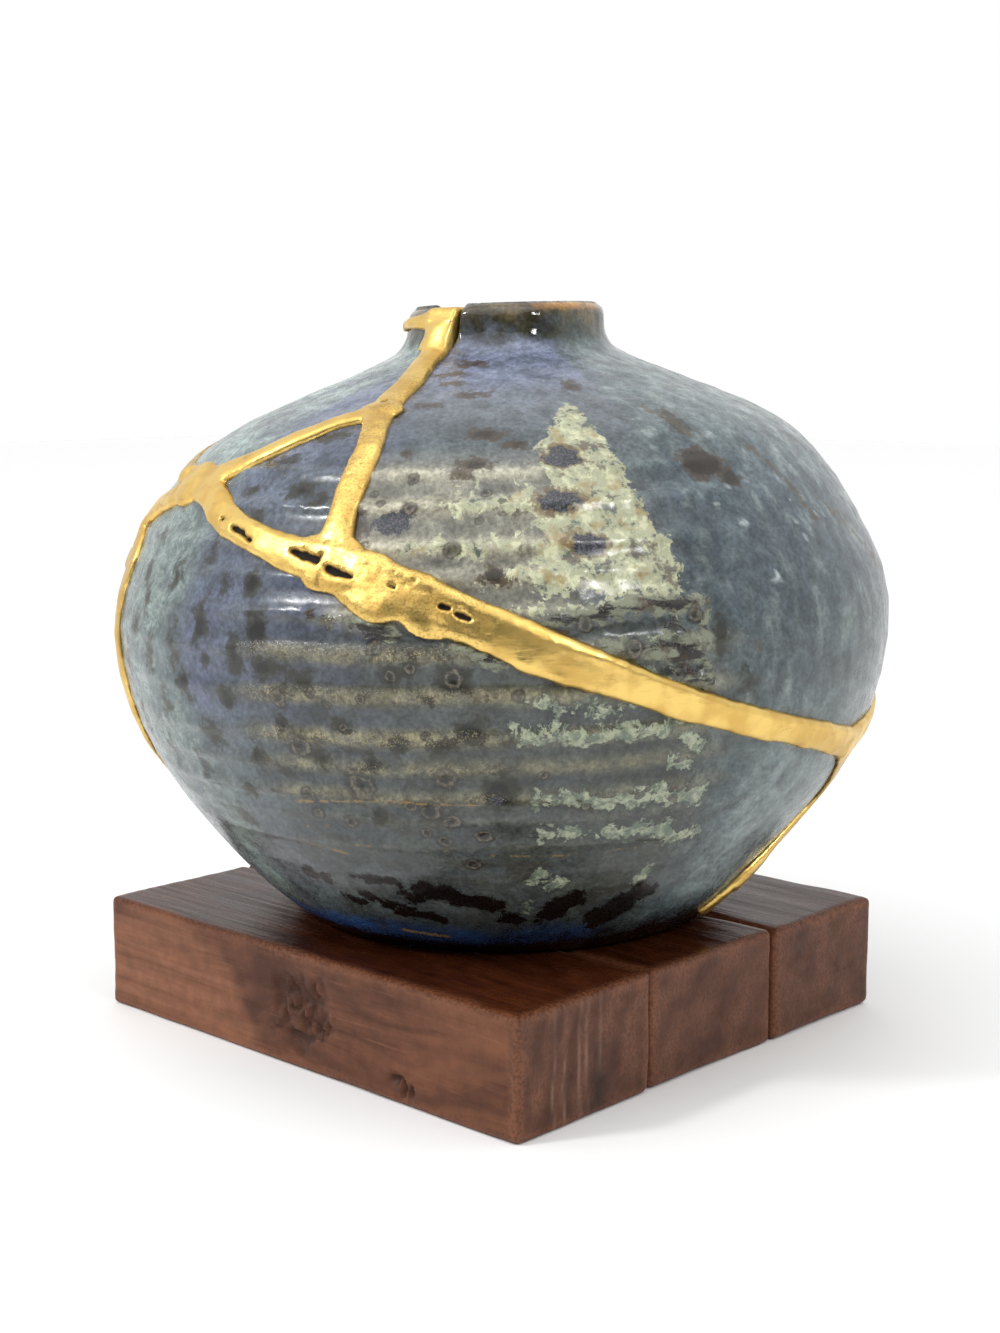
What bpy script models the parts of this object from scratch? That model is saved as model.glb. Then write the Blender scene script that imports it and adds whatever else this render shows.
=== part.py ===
"""A broken vase mended with gold, standing on a base of three boards.

Run it with Blender 4.5. Lengths are in metres and +Z is up. The origin is the centre of the base's
underside, and the base's sides run along X and Y. The vase is turned as one closed shell, the cracks
are cut through its wall with thin blades, and the gold is swept along the same cracks.
"""
import itertools
import math

import bmesh
import bpy
import numpy as np
from mathutils import Vector
from mathutils.bvhtree import BVHTree

MM = 0.001

# Base
BASE_LENGTH = 128 * MM
BASE_DEPTH = 120 * MM
BASE_THICKNESS = 25.4 * MM
FRONT_JOINT = -20 * MM
BACK_JOINT = 22 * MM
ARRIS = 2.2 * MM

# Vase
VASE_HEIGHT = 133.8 * MM
VASE_RADIUS = 85.6 * MM
AXIS_X = 2.3 * MM
AXIS_Y = 2.2 * MM
SEGMENTS = 44
LEAN = 0.03
LEAN_AZIMUTH = 43.3
LEAN_START = 20 * MM

# Gaps, cracks and gold
GAP = 0.3 * MM
WEB = 1.2 * MM
CRACK = WEB + 2 * GAP
CHIP_WIDTH = 8.2 * MM
GOLD_OVER = 0.9 * MM
RECESS = 0.4 * MM
BLADE_OUT = 3 * MM
BLADE_IN = 9.8 * MM

# Profiles as shares of VASE_RADIUS and VASE_HEIGHT. The outside runs from the foot up to the lip.
OUTSIDE = [
    (0.543, 0.0), (0.567, 0.011), (0.605, 0.030), (0.658, 0.062), (0.722, 0.110), (0.790, 0.164),
    (0.871, 0.233), (0.932, 0.302), (0.973, 0.371), (0.996, 0.439), (1.0, 0.508), (0.978, 0.575),
    (0.928, 0.645), (0.876, 0.700), (0.818, 0.747), (0.751, 0.789), (0.662, 0.824), (0.540, 0.858),
    (0.407, 0.892), (0.298, 0.923), (0.263, 0.949), (0.256, 0.981),
]
LIP = [(0.247, 0.993), (0.229, 1.0), (0.208, 0.998), (0.194, 0.986)]
INSIDE = [
    (0.188, 0.955), (0.204, 0.925), (0.280, 0.882), (0.397, 0.849), (0.537, 0.815), (0.654, 0.782),
    (0.742, 0.744), (0.824, 0.688), (0.888, 0.620), (0.929, 0.546), (0.938, 0.478), (0.923, 0.411),
    (0.888, 0.344), (0.835, 0.277), (0.754, 0.206), (0.640, 0.130), (0.491, 0.075),
]
FLOOR = (0.0, 0.064)
UNDERSIDE = [(0.0, 0.019), (0.444, 0.019), (0.470, 0.0)]

# The centre line sways a little to and fro: height share, shift in mm along LEAN_AZIMUTH.
SWAY = [(0.0, 0.0), (0.075, 0.7), (0.26, 0.9), (0.45, -0.1), (0.66, -1.0), (0.75, -0.7), (0.84, 0.3)]

# Seams. Each point is azimuth in degrees, height as a share of VASE_HEIGHT, gold width in mm.
LEFT_NODE = (-108.0, 0.735, 7.0)
NECK_NODE = (-75.0, 0.839, 5.8)
FRONT_NODE = (-70.0, 0.634, 8.6)
RIGHT_NODE = (15.0, 0.305, 6.5)
BACK_NODE = (-120.5, 0.612, 5.0)
BAND = [
    LEFT_NODE, (-100.0, 0.722, 6.0), (-92.0, 0.690, 6.2), (-85.0, 0.668, 6.0), (-78.0, 0.649, 6.8),
    FRONT_NODE, (-60.0, 0.600, 8.6), (-50.0, 0.553, 8.6), (-40.0, 0.503, 8.0), (-29.0, 0.452, 6.8),
    (-19.0, 0.408, 6.0), (-5.0, 0.362, 5.8), RIGHT_NODE, (38.0, 0.325, 5.2), (66.0, 0.385, 5.0),
    (96.0, 0.372, 5.0), (128.0, 0.430, 5.0), (160.0, 0.492, 5.0), (192.0, 0.535, 5.0),
    (218.0, 0.598, 5.0), (360.0 + BACK_NODE[0], BACK_NODE[1], 5.0),
]
RIGHT_SEAM = [
    RIGHT_NODE, (22.5, 0.240, 5.2), (25.5, 0.185, 5.0), (18.5, 0.125, 5.0), (10.5, 0.075, 5.0),
]
LEFT_SEAM = [
    (-146.0, 0.075, 4.6), (-141.0, 0.150, 5.0), (-133.0, 0.240, 5.0), (-125.5, 0.330, 5.2),
    (-121.5, 0.430, 5.2), (-121.5, 0.520, 5.0), BACK_NODE, (-125.5, 0.674, 4.6), LEFT_NODE,
]
SHOULDER_SEAM = [
    LEFT_NODE, (-116.0, 0.745, 5.2), (-126.0, 0.753, 5.0), (-137.0, 0.767, 4.6), (-147.0, 0.792, 4.4),
    (-154.5, 0.826, 4.2), (-159.5, 0.865, 4.0), (-162.5, 0.900, 4.0), (-164.0, 0.935, 3.8),
    (-165.0, 0.978, 3.6),
]
NECK_SEAM = [
    (-85.0, 0.975, 6.0), (-84.5, 0.945, 6.0), (-82.0, 0.912, 6.0), (-77.0, 0.880, 5.6), NECK_NODE,
    (-71.0, 0.800, 5.2), (-70.2, 0.750, 6.2), (-70.3, 0.700, 5.6), FRONT_NODE,
]
THIN_SEAM = [
    NECK_NODE, (-83.0, 0.822, 4.6), (-90.0, 0.796, 4.4), (-97.0, 0.764, 4.4), LEFT_NODE,
]
CHIP_AZIMUTH = -85.5
LIP_GOLD = [(-84.0, 4.0), (-92.0, 4.0), (-100.0, 3.8), (-108.0, 3.2), (-114.0, 2.4)]

# How far the gold stands out of the glaze along each seam, in mm.
PROUD = {"band": 1.6, "thin": 1.3, "back": 1.2}

# Domes of gold where seams meet: node, radius in mm, height in mm.
DOMES = [(LEFT_NODE, 6.0, 2.2), (NECK_NODE, 4.6, 1.8)]

# Unfilled pits in the band: azimuth, height share, length, width and depth in mm, turn in degrees.
PITS = [
    (-86.6, 0.668, 7.0, 1.0, 1.3, -25.0), (-73.8, 0.642, 7.6, 1.7, 1.6, -20.0),
    (-68.3, 0.622, 6.4, 1.4, 1.5, -28.0), (-52.0, 0.569, 6.2, 1.3, 1.4, -30.0),
]

# Where each shard is, to name the pieces after the cut: azimuth, height share.
SHARDS = {
    "main_shoulder_shard": (0.0, 0.66),
    "left_shoulder_shard": (-112.0, 0.82),
    "triangle_shard": (-83.0, 0.735),
    "front_bowl_shard": (-50.0, 0.24),
    "back_bowl_shard": (130.0, 0.24),
}


def smooth_line(points, steps):
    """A smooth curve that passes through all the points."""
    knots = [np.array(p, dtype=float) for p in points]
    knots = [2 * knots[0] - knots[1]] + knots + [2 * knots[-1] - knots[-2]]
    line = []
    for a, b, c, d in zip(knots, knots[1:], knots[2:], knots[3:]):
        for k in range(steps):
            t = k / steps
            bend = (2 * a - 5 * b + 4 * c - d) * t * t
            twist = (3 * b - 3 * c + d - a) * t ** 3
            line.append(0.5 * (2 * b + (c - a) * t + bend + twist))
    line.append(knots[-2])
    return np.array(line)


OUTSIDE_LINE = smooth_line(OUTSIDE, 10)


def plain_radius(share):
    return VASE_RADIUS * np.interp(share, OUTSIDE_LINE[:, 1], OUTSIDE_LINE[:, 0])


def wall_normal(share):
    step = 0.004
    rise = 2 * step * VASE_HEIGHT
    run = plain_radius(share + step) - plain_radius(share - step)
    size = math.hypot(rise, run)
    return rise / size, -run / size


def place(azimuth, radius, height):
    """A point beside the vase's own axis, in the row's frame, with the maker's lean and sway."""
    turn = math.radians(azimuth)
    lean = math.radians(LEAN_AZIMUTH)
    x = radius * math.cos(turn)
    y = radius * math.sin(turn)
    side = x * math.cos(lean) + y * math.sin(lean)
    share = height / VASE_HEIGHT
    sway = MM * np.interp(share, [s for s, _ in SWAY], [m for _, m in SWAY])
    start = min(max(height / LEAN_START, 0.0), 1.0)
    start = start * start * (3 - 2 * start)
    return Vector((
        AXIS_X + x + sway * math.cos(lean),
        AXIS_Y + y + sway * math.sin(lean),
        BASE_THICKNESS + GAP + height + LEAN * side * start,
    ))


def on_wall(azimuth, share, lift):
    """A point over the outside of the vase, lifted along the wall's normal."""
    out, up = wall_normal(share)
    radius = plain_radius(share) + lift * out
    return place(azimuth, radius, share * VASE_HEIGHT + lift * up)


def wall_depth(share):
    """The wall's thickness along its normal, down to the inside profile."""
    out, up = wall_normal(share)
    inside = INSIDE[::-1]
    for depth in np.arange(2.0, 14.0, 0.1) * MM:
        radius = plain_radius(share) - depth * out
        height = share * VASE_HEIGHT - depth * up
        room = VASE_RADIUS * np.interp(height / VASE_HEIGHT, [z for _, z in inside], [r for r, _ in inside])
        if height > FLOOR[1] * VASE_HEIGHT and radius < room:
            return depth
    return 14.0 * MM


def new_object(name, verts, faces):
    mesh = bpy.data.meshes.new(name)
    mesh.from_pydata([tuple(v) for v in verts], [], faces)
    mesh.update()
    obj = bpy.data.objects.new(name, mesh)
    bpy.context.scene.collection.objects.link(obj)
    return obj


def tidy(obj):
    """Point every face of a closed mesh outwards."""
    bm = bmesh.new()
    bm.from_mesh(obj.data)
    bmesh.ops.recalc_face_normals(bm, faces=bm.faces)
    bm.to_mesh(obj.data)
    bm.free()


def drop(obj):
    mesh = obj.data
    bpy.data.objects.remove(obj)
    bpy.data.meshes.remove(mesh)


def freeze(obj):
    """Replace an object's mesh with the result of its modifiers."""
    graph = bpy.context.evaluated_depsgraph_get()
    old = obj.data
    mesh = bpy.data.meshes.new_from_object(obj.evaluated_get(graph))
    obj.modifiers.clear()
    obj.data = mesh
    bpy.data.meshes.remove(old)
    return obj


def measure(mesh):
    """Whether a mesh is closed, and its volume."""
    bm = bmesh.new()
    bm.from_mesh(mesh)
    closed = all(len(edge.link_faces) == 2 for edge in bm.edges)
    volume = bm.calc_volume()
    bm.free()
    return closed, volume


def combine(obj, tool, operation):
    """Apply an exact Boolean, then remove the tool.

    A result that is open, or whose volume can't be right, is made again with faces that cross
    each other allowed for, and then with the tool nudged by about a hundredth of a millimetre.
    """
    before = measure(obj.data)[1]
    size = measure(tool.data)[1]
    least, most = (before - size, before) if operation == "DIFFERENCE" else (before, before + size)
    slack = 0.002 * size
    graph = bpy.context.evaluated_depsgraph_get()
    nudges = ((0, 0, 0), (7, 4, 9), (-9, 6, -5), (5, -11, 8))
    for nudge, crossing in itertools.product(nudges, (False, True)):
        tool.location = Vector(nudge) * 0.001 * MM
        step = obj.modifiers.new("Boolean", "BOOLEAN")
        step.operation = operation
        step.solver = "EXACT"
        step.use_self = crossing
        step.object = tool
        graph.update()
        mesh = bpy.data.meshes.new_from_object(obj.evaluated_get(graph))
        obj.modifiers.clear()
        closed, volume = measure(mesh)
        if closed and least - slack <= volume <= most + slack:
            break
    old = obj.data
    obj.data = mesh
    bpy.data.meshes.remove(old)
    drop(tool)
    return obj


def offset_line(line, lift):
    """Move each point of a profile along its normal. Points on the axis stay on the axis."""
    line = np.array(line, dtype=float)
    edges = np.diff(line, axis=0)
    edges /= np.linalg.norm(edges, axis=1)[:, None]
    normals = np.stack([edges[:, 1], -edges[:, 0]], axis=1)
    moved = []
    for i, point in enumerate(line):
        before = normals[max(i - 1, 0)]
        after = normals[min(i, len(normals) - 1)]
        middle = before + after
        middle /= np.linalg.norm(middle)
        reach = lift / max(float(middle @ after), 0.5)
        moved.append(point + reach * middle)
    moved[0][0] = 0.0
    moved[-1][0] = 0.0
    return np.array(moved)


def vase_profile():
    """The closed wall from the middle of the underside, up the outside, and down to the floor."""
    line = UNDERSIDE + OUTSIDE + LIP + INSIDE + [FLOOR]
    return [(r * VASE_RADIUS, z * VASE_HEIGHT) for r, z in line]


def revolve(name, line):
    """Turn a profile round the vase's axis with a Screw modifier, then lean it."""
    mesh = bpy.data.meshes.new(name)
    count = len(line)
    mesh.from_pydata([(r, 0.0, z) for r, z in line], [(i, i + 1) for i in range(count - 1)], [])
    obj = bpy.data.objects.new(name, mesh)
    bpy.context.scene.collection.objects.link(obj)
    screw = obj.modifiers.new("Screw", "SCREW")
    screw.angle = 2 * math.pi
    screw.steps = SEGMENTS
    screw.render_steps = SEGMENTS
    screw.use_merge_vertices = True
    screw.merge_threshold = 0.00001
    freeze(obj)
    for vertex in obj.data.vertices:
        x, y, z = vertex.co
        vertex.co = place(math.degrees(math.atan2(y, x)), math.hypot(x, y), z)
    tidy(obj)
    return obj


def along(seam, spacing):
    """Evenly spaced stations along a seam: azimuth, height share, width in mm."""
    line = smooth_line(seam, 8)
    spots = np.array([on_wall(a, s, 0.0) for a, s, _ in line])
    run = np.concatenate([[0.0], np.cumsum(np.linalg.norm(np.diff(spots, axis=0), axis=1))])
    count = max(int(round(run[-1] / spacing)), 2)
    marks = np.linspace(0.0, run[-1], count + 1)
    return [tuple(np.interp(m, run, line[:, k]) for k in range(3)) for m in marks]


def ribbon(name, rows, thickness):
    """A thin blade through rows of points, thickened with Solidify."""
    wide = len(rows[0])
    verts = [p for row in rows for p in row]
    faces = []
    for i in range(len(rows) - 1):
        for k in range(wide - 1):
            here = i * wide + k
            faces.append((here, here + 1, here + wide + 1, here + wide))
    obj = new_object(name, verts, faces)
    thick = obj.modifiers.new("Solidify", "SOLIDIFY")
    thick.thickness = thickness
    thick.offset = 0.0
    thick.use_even_offset = True
    freeze(obj)
    tidy(obj)
    return obj


def wall_rows(seam, fill, spacing=10 * MM):
    """A seam's blade along the wall's normal.

    The fill spans the wall. The crack has the fill's points and one more past each face of the wall,
    so that the two stay parallel where the blade twists.
    """
    rows = []
    for azimuth, share, _ in along(seam, spacing):
        lifts = [GOLD_OVER, RECESS - wall_depth(share)]
        if not fill:
            lifts = [BLADE_OUT] + lifts + [-BLADE_IN]
        rows.append([on_wall(azimuth, share, lift) for lift in lifts])
    return rows


def upright(azimuth, spans, fill):
    """Rows in one plane through the axis, each from an outer to an inner point, in shares."""
    rows = []
    for a, b, c, d in spans:
        outer = place(azimuth, a * VASE_RADIUS, b * VASE_HEIGHT)
        inner = place(azimuth, c * VASE_RADIUS, d * VASE_HEIGHT)
        marks = (0.0, 1.0) if fill else (0.0, 0.3, 0.7, 1.0)
        rows.append([outer.lerp(inner, t) for t in marks])
    return rows


def foot_rows(right, left, fill):
    """The blade's way down one side of the foot, across the floor and up the other side."""
    if fill:
        corner = [(0.590, 0.030, 0.500, 0.073), (0.530, 0.007, 0.430, 0.062), (0.455, 0.024, 0.390, 0.060)]
        low, high = 0.024, 0.060
    else:
        corner = [(0.670, 0.026, 0.530, 0.128), (0.596, -0.022, 0.444, 0.098)]
        low, high = -0.022, 0.098
    side = [(0.35, low, 0.35, high)]
    rows = upright(right, corner + side, fill)
    rows += upright((right + left) / 2, [(0.12, low, 0.12, high)], fill)
    rows += upright(left, side + corner[::-1], fill)
    return rows


def rim_rows(azimuth, fill):
    span = (0.252, 1.002, 0.205, 1.002) if fill else (0.291, 1.04, 0.142, 1.04)
    return upright(azimuth, [span], fill)


def all_cracks(fill):
    """Every crack's blade by name, as rows of points."""
    bowl = wall_rows(RIGHT_SEAM, fill)
    bowl += foot_rows(RIGHT_SEAM[-1][0], LEFT_SEAM[0][0], fill)
    bowl += wall_rows(LEFT_SEAM, fill)
    shoulder = wall_rows(SHOULDER_SEAM, fill, 8 * MM) + rim_rows(SHOULDER_SEAM[-1][0], fill)
    neck = rim_rows(NECK_SEAM[0][0], fill) + wall_rows(NECK_SEAM, fill, 8 * MM)
    cracks = {
        "bowl": bowl, "band": wall_rows(BAND, fill, 12 * MM), "shoulder": shoulder, "neck": neck,
        "thin": wall_rows(THIN_SEAM, fill),
    }
    reach = 0.08 if fill else 0.31
    for i, rows in enumerate(cracks.values()):
        run_on(rows, (reach + 0.07 * i) * MM)
    return cracks


def run_on(rows, reach):
    """Carry a blade on a little at both ends, so that no two blades end at one point."""
    for end, near in ((0, 1), (-1, -2)):
        ahead = (rows[end][0] - rows[near][0]).normalized() * reach
        rows[end] = [p + ahead for p in rows[end]]


def chip_rows(fill):
    if fill:
        spans = [
            (0.302, 0.9275, 0.209, 0.9275), (0.275, 0.953, 0.196, 0.953), (0.268, 0.984, 0.199, 0.984),
            (0.251, 1.007, 0.208, 1.007),
        ]
    else:
        spans = [(0.340, 0.925, 0.142, 0.925), (0.340, 1.04, 0.142, 1.04)]
    return upright(CHIP_AZIMUTH, spans, fill)


def swell(name, stations, depth, full=True):
    """Sweep a low domed section along stations: point, normal, width, height over the glaze."""
    crown = [(-0.28, 0.8), (0.0, 1.0), (0.28, 0.8)] if full else [(0.0, 1.0)]
    across = [(-0.5, None), (-0.5, 0.0)] + crown + [(0.5, 0.0), (0.5, None)]
    edge = GAP + 0.45 * MM
    verts = []
    count = len(stations)
    for i, (point, normal, width, height) in enumerate(stations):
        ahead = stations[min(i + 1, count - 1)][0] - stations[max(i - 1, 0)][0]
        side = ahead.cross(normal).normalized()
        for u, v in across:
            lift = -depth if v is None else edge + v * (height - edge)
            verts.append(point + side * (u * width) + normal * lift)
    size = len(across)
    faces = []
    for i in range(count - 1):
        for k in range(size):
            n = (k + 1) % size
            faces.append((i * size + k, i * size + n, (i + 1) * size + n, (i + 1) * size + k))
    faces.append(tuple(range(size)))
    faces.append(tuple((count - 1) * size + k for k in range(size)))
    obj = new_object(name, verts, faces)
    tidy(obj)
    return obj


def seam_gold(name, seam, proud, depth, spacing=9 * MM, full=True):
    """The raised gold of one seam. It sinks to its own depth, and runs on a little at both ends."""
    stations = []
    for azimuth, share, width in along(seam, spacing):
        point = on_wall(azimuth, share, 0.0)
        normal = (on_wall(azimuth, share, MM) - point).normalized()
        stations.append([point, normal, width * MM, proud * MM])
    run_on = (depth - 0.8) * MM
    first = (stations[0][0] - stations[1][0]).normalized()
    last = (stations[-1][0] - stations[-2][0]).normalized()
    stations[0][0] = stations[0][0] + first * run_on
    stations[-1][0] = stations[-1][0] + last * run_on
    return swell(name, stations, depth * MM, full)


def lip_gold():
    stations = []
    for azimuth, width in LIP_GOLD:
        point = place(azimuth, 0.222 * VASE_RADIUS, 0.995 * VASE_HEIGHT)
        stations.append((point, Vector((0, 0, 1)), width * MM, 1.5 * MM))
    return swell("lip_gold", stations, 0.9 * MM)


def dome(name, node, radius, height):
    """A low round blob over a junction."""
    azimuth, share, _ = node
    point = on_wall(azimuth, share, 0.0)
    normal = (on_wall(azimuth, share, MM) - point).normalized()
    bm = bmesh.new()
    bmesh.ops.create_icosphere(bm, subdivisions=2, radius=1.0)
    turn = normal.to_track_quat("Z", "Y").to_matrix()
    for vertex in bm.verts:
        x, y, z = vertex.co
        vertex.co = point + turn @ Vector((x * radius * MM, y * radius * MM, z * height * MM))
    mesh = bpy.data.meshes.new(name)
    bm.to_mesh(mesh)
    bm.free()
    obj = bpy.data.objects.new(name, mesh)
    bpy.context.scene.collection.objects.link(obj)
    return obj


def pit(name, azimuth, share, length, width, depth, turn):
    """A long narrow hollow in the gold, sunk from its crest."""
    point = on_wall(azimuth, share, 0.0)
    normal = (on_wall(azimuth, share, MM) - point).normalized()
    east = (on_wall(azimuth + 1.0, share, 0.0) - point).normalized()
    north = normal.cross(east)
    angle = math.radians(turn)
    run = east * math.cos(angle) + north * math.sin(angle)
    side = normal.cross(run)
    centre = point + normal * (2.1 * MM)
    bm = bmesh.new()
    bmesh.ops.create_uvsphere(bm, u_segments=10, v_segments=5, radius=1.0)
    for vertex in bm.verts:
        x, y, z = vertex.co
        reach = run * (x * length / 2) + side * (y * width / 2) + normal * (z * depth)
        vertex.co = centre + reach * MM
    mesh = bpy.data.meshes.new(name)
    bm.to_mesh(mesh)
    bm.free()
    obj = bpy.data.objects.new(name, mesh)
    bpy.context.scene.collection.objects.link(obj)
    return obj


def material(name, colour, roughness, metallic):
    made = bpy.data.materials.new(name)
    made.use_nodes = True
    node = made.node_tree.nodes["Principled BSDF"]
    node.inputs["Base Color"].default_value = (*colour, 1.0)
    node.inputs["Roughness"].default_value = roughness
    node.inputs["Metallic"].default_value = metallic
    made.diffuse_color = (*colour, 1.0)
    return made


def split_shards(shell):
    """Separate the cut shell into pieces and name each by the point of the wall that it holds."""
    bm = bmesh.new()
    bm.from_mesh(shell.data)
    left = set(bm.faces)
    groups = []
    while left:
        seed = left.pop()
        group = {seed}
        stack = [seed]
        while stack:
            face = stack.pop()
            for edge in face.edges:
                for other in edge.link_faces:
                    if other in left:
                        left.discard(other)
                        group.add(other)
                        stack.append(other)
        groups.append(group)
    pieces = []
    for group in groups:
        index = {}
        verts = []
        faces = []
        for face in sorted(group, key=lambda f: f.index):
            ring = []
            for vertex in face.verts:
                if vertex not in index:
                    index[vertex] = len(verts)
                    verts.append(vertex.co.copy())
                ring.append(index[vertex])
            faces.append(ring)
        pieces.append((verts, faces, BVHTree.FromPolygons(verts, faces)))
    bm.free()
    drop(shell)
    shards = []
    for name, (azimuth, share) in SHARDS.items():
        spot = on_wall(azimuth, share, 0.0)
        near = min(pieces, key=lambda piece: piece[2].find_nearest(spot)[3])
        pieces.remove(near)
        shard = new_object(name, near[0], near[1])
        tidy(shard)
        shards.append(shard)
    return shards, pieces


def make_vase():
    shell = revolve("shell", vase_profile())
    cracks = all_cracks(False)
    for name in ("shoulder", "bowl", "band", "neck", "thin"):
        combine(shell, ribbon("crack_" + name, cracks[name], CRACK), "DIFFERENCE")
    combine(shell, ribbon("chip", chip_rows(False), CHIP_WIDTH), "DIFFERENCE")
    shards, spare = split_shards(shell)
    print("shards", len(shards), "left over", len(spare))
    return shards


def make_gold():
    """The raised seams, cut to clear the glaze, joined by the fill in the cracks."""
    right = BAND.index(RIGHT_NODE)
    gold = seam_gold("gold_seams", BAND[:right + 1], PROUD["band"], 1.20)
    combine(gold, seam_gold("back", BAND[right:], PROUD["back"], 1.32, 13 * MM, False), "UNION")
    combine(gold, seam_gold("right", RIGHT_SEAM, PROUD["thin"], 1.43), "UNION")
    combine(gold, seam_gold("left", LEFT_SEAM, PROUD["thin"], 1.51), "UNION")
    combine(gold, seam_gold("shoulder", SHOULDER_SEAM, PROUD["back"], 1.64, 9 * MM, False), "UNION")
    combine(gold, seam_gold("neck", NECK_SEAM, PROUD["thin"] + 0.1, 1.11), "UNION")
    combine(gold, seam_gold("thin", THIN_SEAM, PROUD["thin"] - 0.07, 1.77), "UNION")
    for i, (node, radius, height) in enumerate(DOMES):
        combine(gold, dome("dome_%d" % i, node, radius, height), "UNION")
    combine(gold, lip_gold(), "UNION")
    clear = revolve("clear", offset_line(vase_profile(), GAP))
    combine(gold, clear, "DIFFERENCE")
    for i, (azimuth, share, length, width, depth, turn) in enumerate(PITS):
        combine(gold, pit("pit_%d" % i, azimuth, share, length, width, depth, turn), "DIFFERENCE")

    combine(gold, ribbon("chip_fill", chip_rows(True), CHIP_WIDTH - 2 * GAP), "UNION")
    for name, rows in all_cracks(True).items():
        combine(gold, ribbon("fill_" + name, rows, WEB), "UNION")
    tidy(gold)
    return gold


def board(name, near, far, shift, ease):
    """One board along X, from near to far in Y, with eased arrises."""
    length = BASE_LENGTH / 2
    box = [
        (x, y, z)
        for x in (-length, length)
        for y in (near, far)
        for z in (0.0, BASE_THICKNESS)
    ]
    faces = [(0, 1, 3, 2), (4, 6, 7, 5), (0, 4, 5, 1), (2, 3, 7, 6), (0, 2, 6, 4), (1, 5, 7, 3)]
    obj = new_object(name, box, faces)
    tidy(obj)
    obj.location.x = shift
    bevel = obj.modifiers.new("Bevel", "BEVEL")
    bevel.width = ease
    bevel.segments = 2
    bevel.limit_method = "ANGLE"
    return obj


def main():
    for obj in list(bpy.data.objects):
        bpy.data.objects.remove(obj)

    glaze_blue = material("glaze_blue", (0.20, 0.26, 0.33), 0.22, 0.0)
    gold_leaf = material("gold_leaf", (0.83, 0.58, 0.24), 0.28, 1.0)
    walnut = material("walnut", (0.20, 0.085, 0.045), 0.45, 0.0)

    for shard in make_vase():
        shard.data.materials.append(glaze_blue.copy())
    gold = make_gold()
    gold.data.materials.append(gold_leaf)

    half = BASE_DEPTH / 2
    boards = [
        board("base_board_front", -half, FRONT_JOINT - GAP / 2, 0.0, ARRIS),
        board("base_board_middle", FRONT_JOINT + GAP / 2, BACK_JOINT - GAP / 2, -0.2 * MM, ARRIS),
        board("base_board_back", BACK_JOINT + GAP / 2, half, 0.4 * MM, ARRIS * 1.1),
    ]
    for piece in boards:
        piece.data.materials.append(walnut.copy())


main()
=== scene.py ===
"""The looks of the mended vase: relief, glaze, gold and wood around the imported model.

The five shards are remeshed finely, set on the smooth profile and given throwing rings and glaze
lumps. The gold is swept along the same seams as the cracks. The boards are fine rounded boxes with
grain and burrs. Lengths are in metres unless a name or a comment says mm.
"""
import math

import bmesh
import bpy
import numpy as np
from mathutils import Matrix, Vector


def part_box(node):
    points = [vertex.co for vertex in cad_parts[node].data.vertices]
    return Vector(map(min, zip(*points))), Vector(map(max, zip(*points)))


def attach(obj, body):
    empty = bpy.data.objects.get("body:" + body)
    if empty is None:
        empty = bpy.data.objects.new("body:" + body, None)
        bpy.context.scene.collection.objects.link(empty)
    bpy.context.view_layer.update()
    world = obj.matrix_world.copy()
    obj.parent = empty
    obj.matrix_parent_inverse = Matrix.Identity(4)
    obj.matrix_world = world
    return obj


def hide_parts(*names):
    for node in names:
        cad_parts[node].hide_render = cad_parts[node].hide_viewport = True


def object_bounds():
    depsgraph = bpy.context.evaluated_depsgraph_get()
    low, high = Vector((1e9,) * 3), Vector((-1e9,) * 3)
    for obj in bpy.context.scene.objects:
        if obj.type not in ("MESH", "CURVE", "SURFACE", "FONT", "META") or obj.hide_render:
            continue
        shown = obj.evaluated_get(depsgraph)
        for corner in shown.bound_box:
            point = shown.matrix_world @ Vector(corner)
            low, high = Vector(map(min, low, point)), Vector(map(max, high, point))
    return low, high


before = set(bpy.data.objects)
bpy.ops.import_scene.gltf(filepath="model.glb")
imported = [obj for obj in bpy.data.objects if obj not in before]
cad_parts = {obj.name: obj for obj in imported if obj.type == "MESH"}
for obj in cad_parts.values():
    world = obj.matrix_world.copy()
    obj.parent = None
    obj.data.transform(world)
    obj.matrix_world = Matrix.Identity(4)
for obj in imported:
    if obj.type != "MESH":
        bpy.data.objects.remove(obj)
CAD_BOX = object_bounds()
MM = 0.001

# The camera at the photo's viewing angle
CAMERA_PLACE = (0.3086, -0.3246, 0.1465)
CAMERA_TURN = (81.41, 0.0, 43.27)
CAMERA_LENS = 54.0

# The vase's own sizes, as in the solids
BASE_THICKNESS = 25.4 * MM
GAP = 0.3 * MM
VASE_HEIGHT = 133.8 * MM
VASE_RADIUS = 85.6 * MM
AXIS = np.array([2.3, 2.2]) * MM
LEAN = 0.03
LEAN_AZIMUTH = 43.3
LEAN_START = 20 * MM

# Sideways shift of the turned shape: share of VASE_HEIGHT, shift in mm
SWAY = [(0.0, 0.0), (0.075, 0.7), (0.26, 0.9), (0.45, -0.1), (0.66, -1.0), (0.75, -0.7), (0.84, 0.3)]

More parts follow.
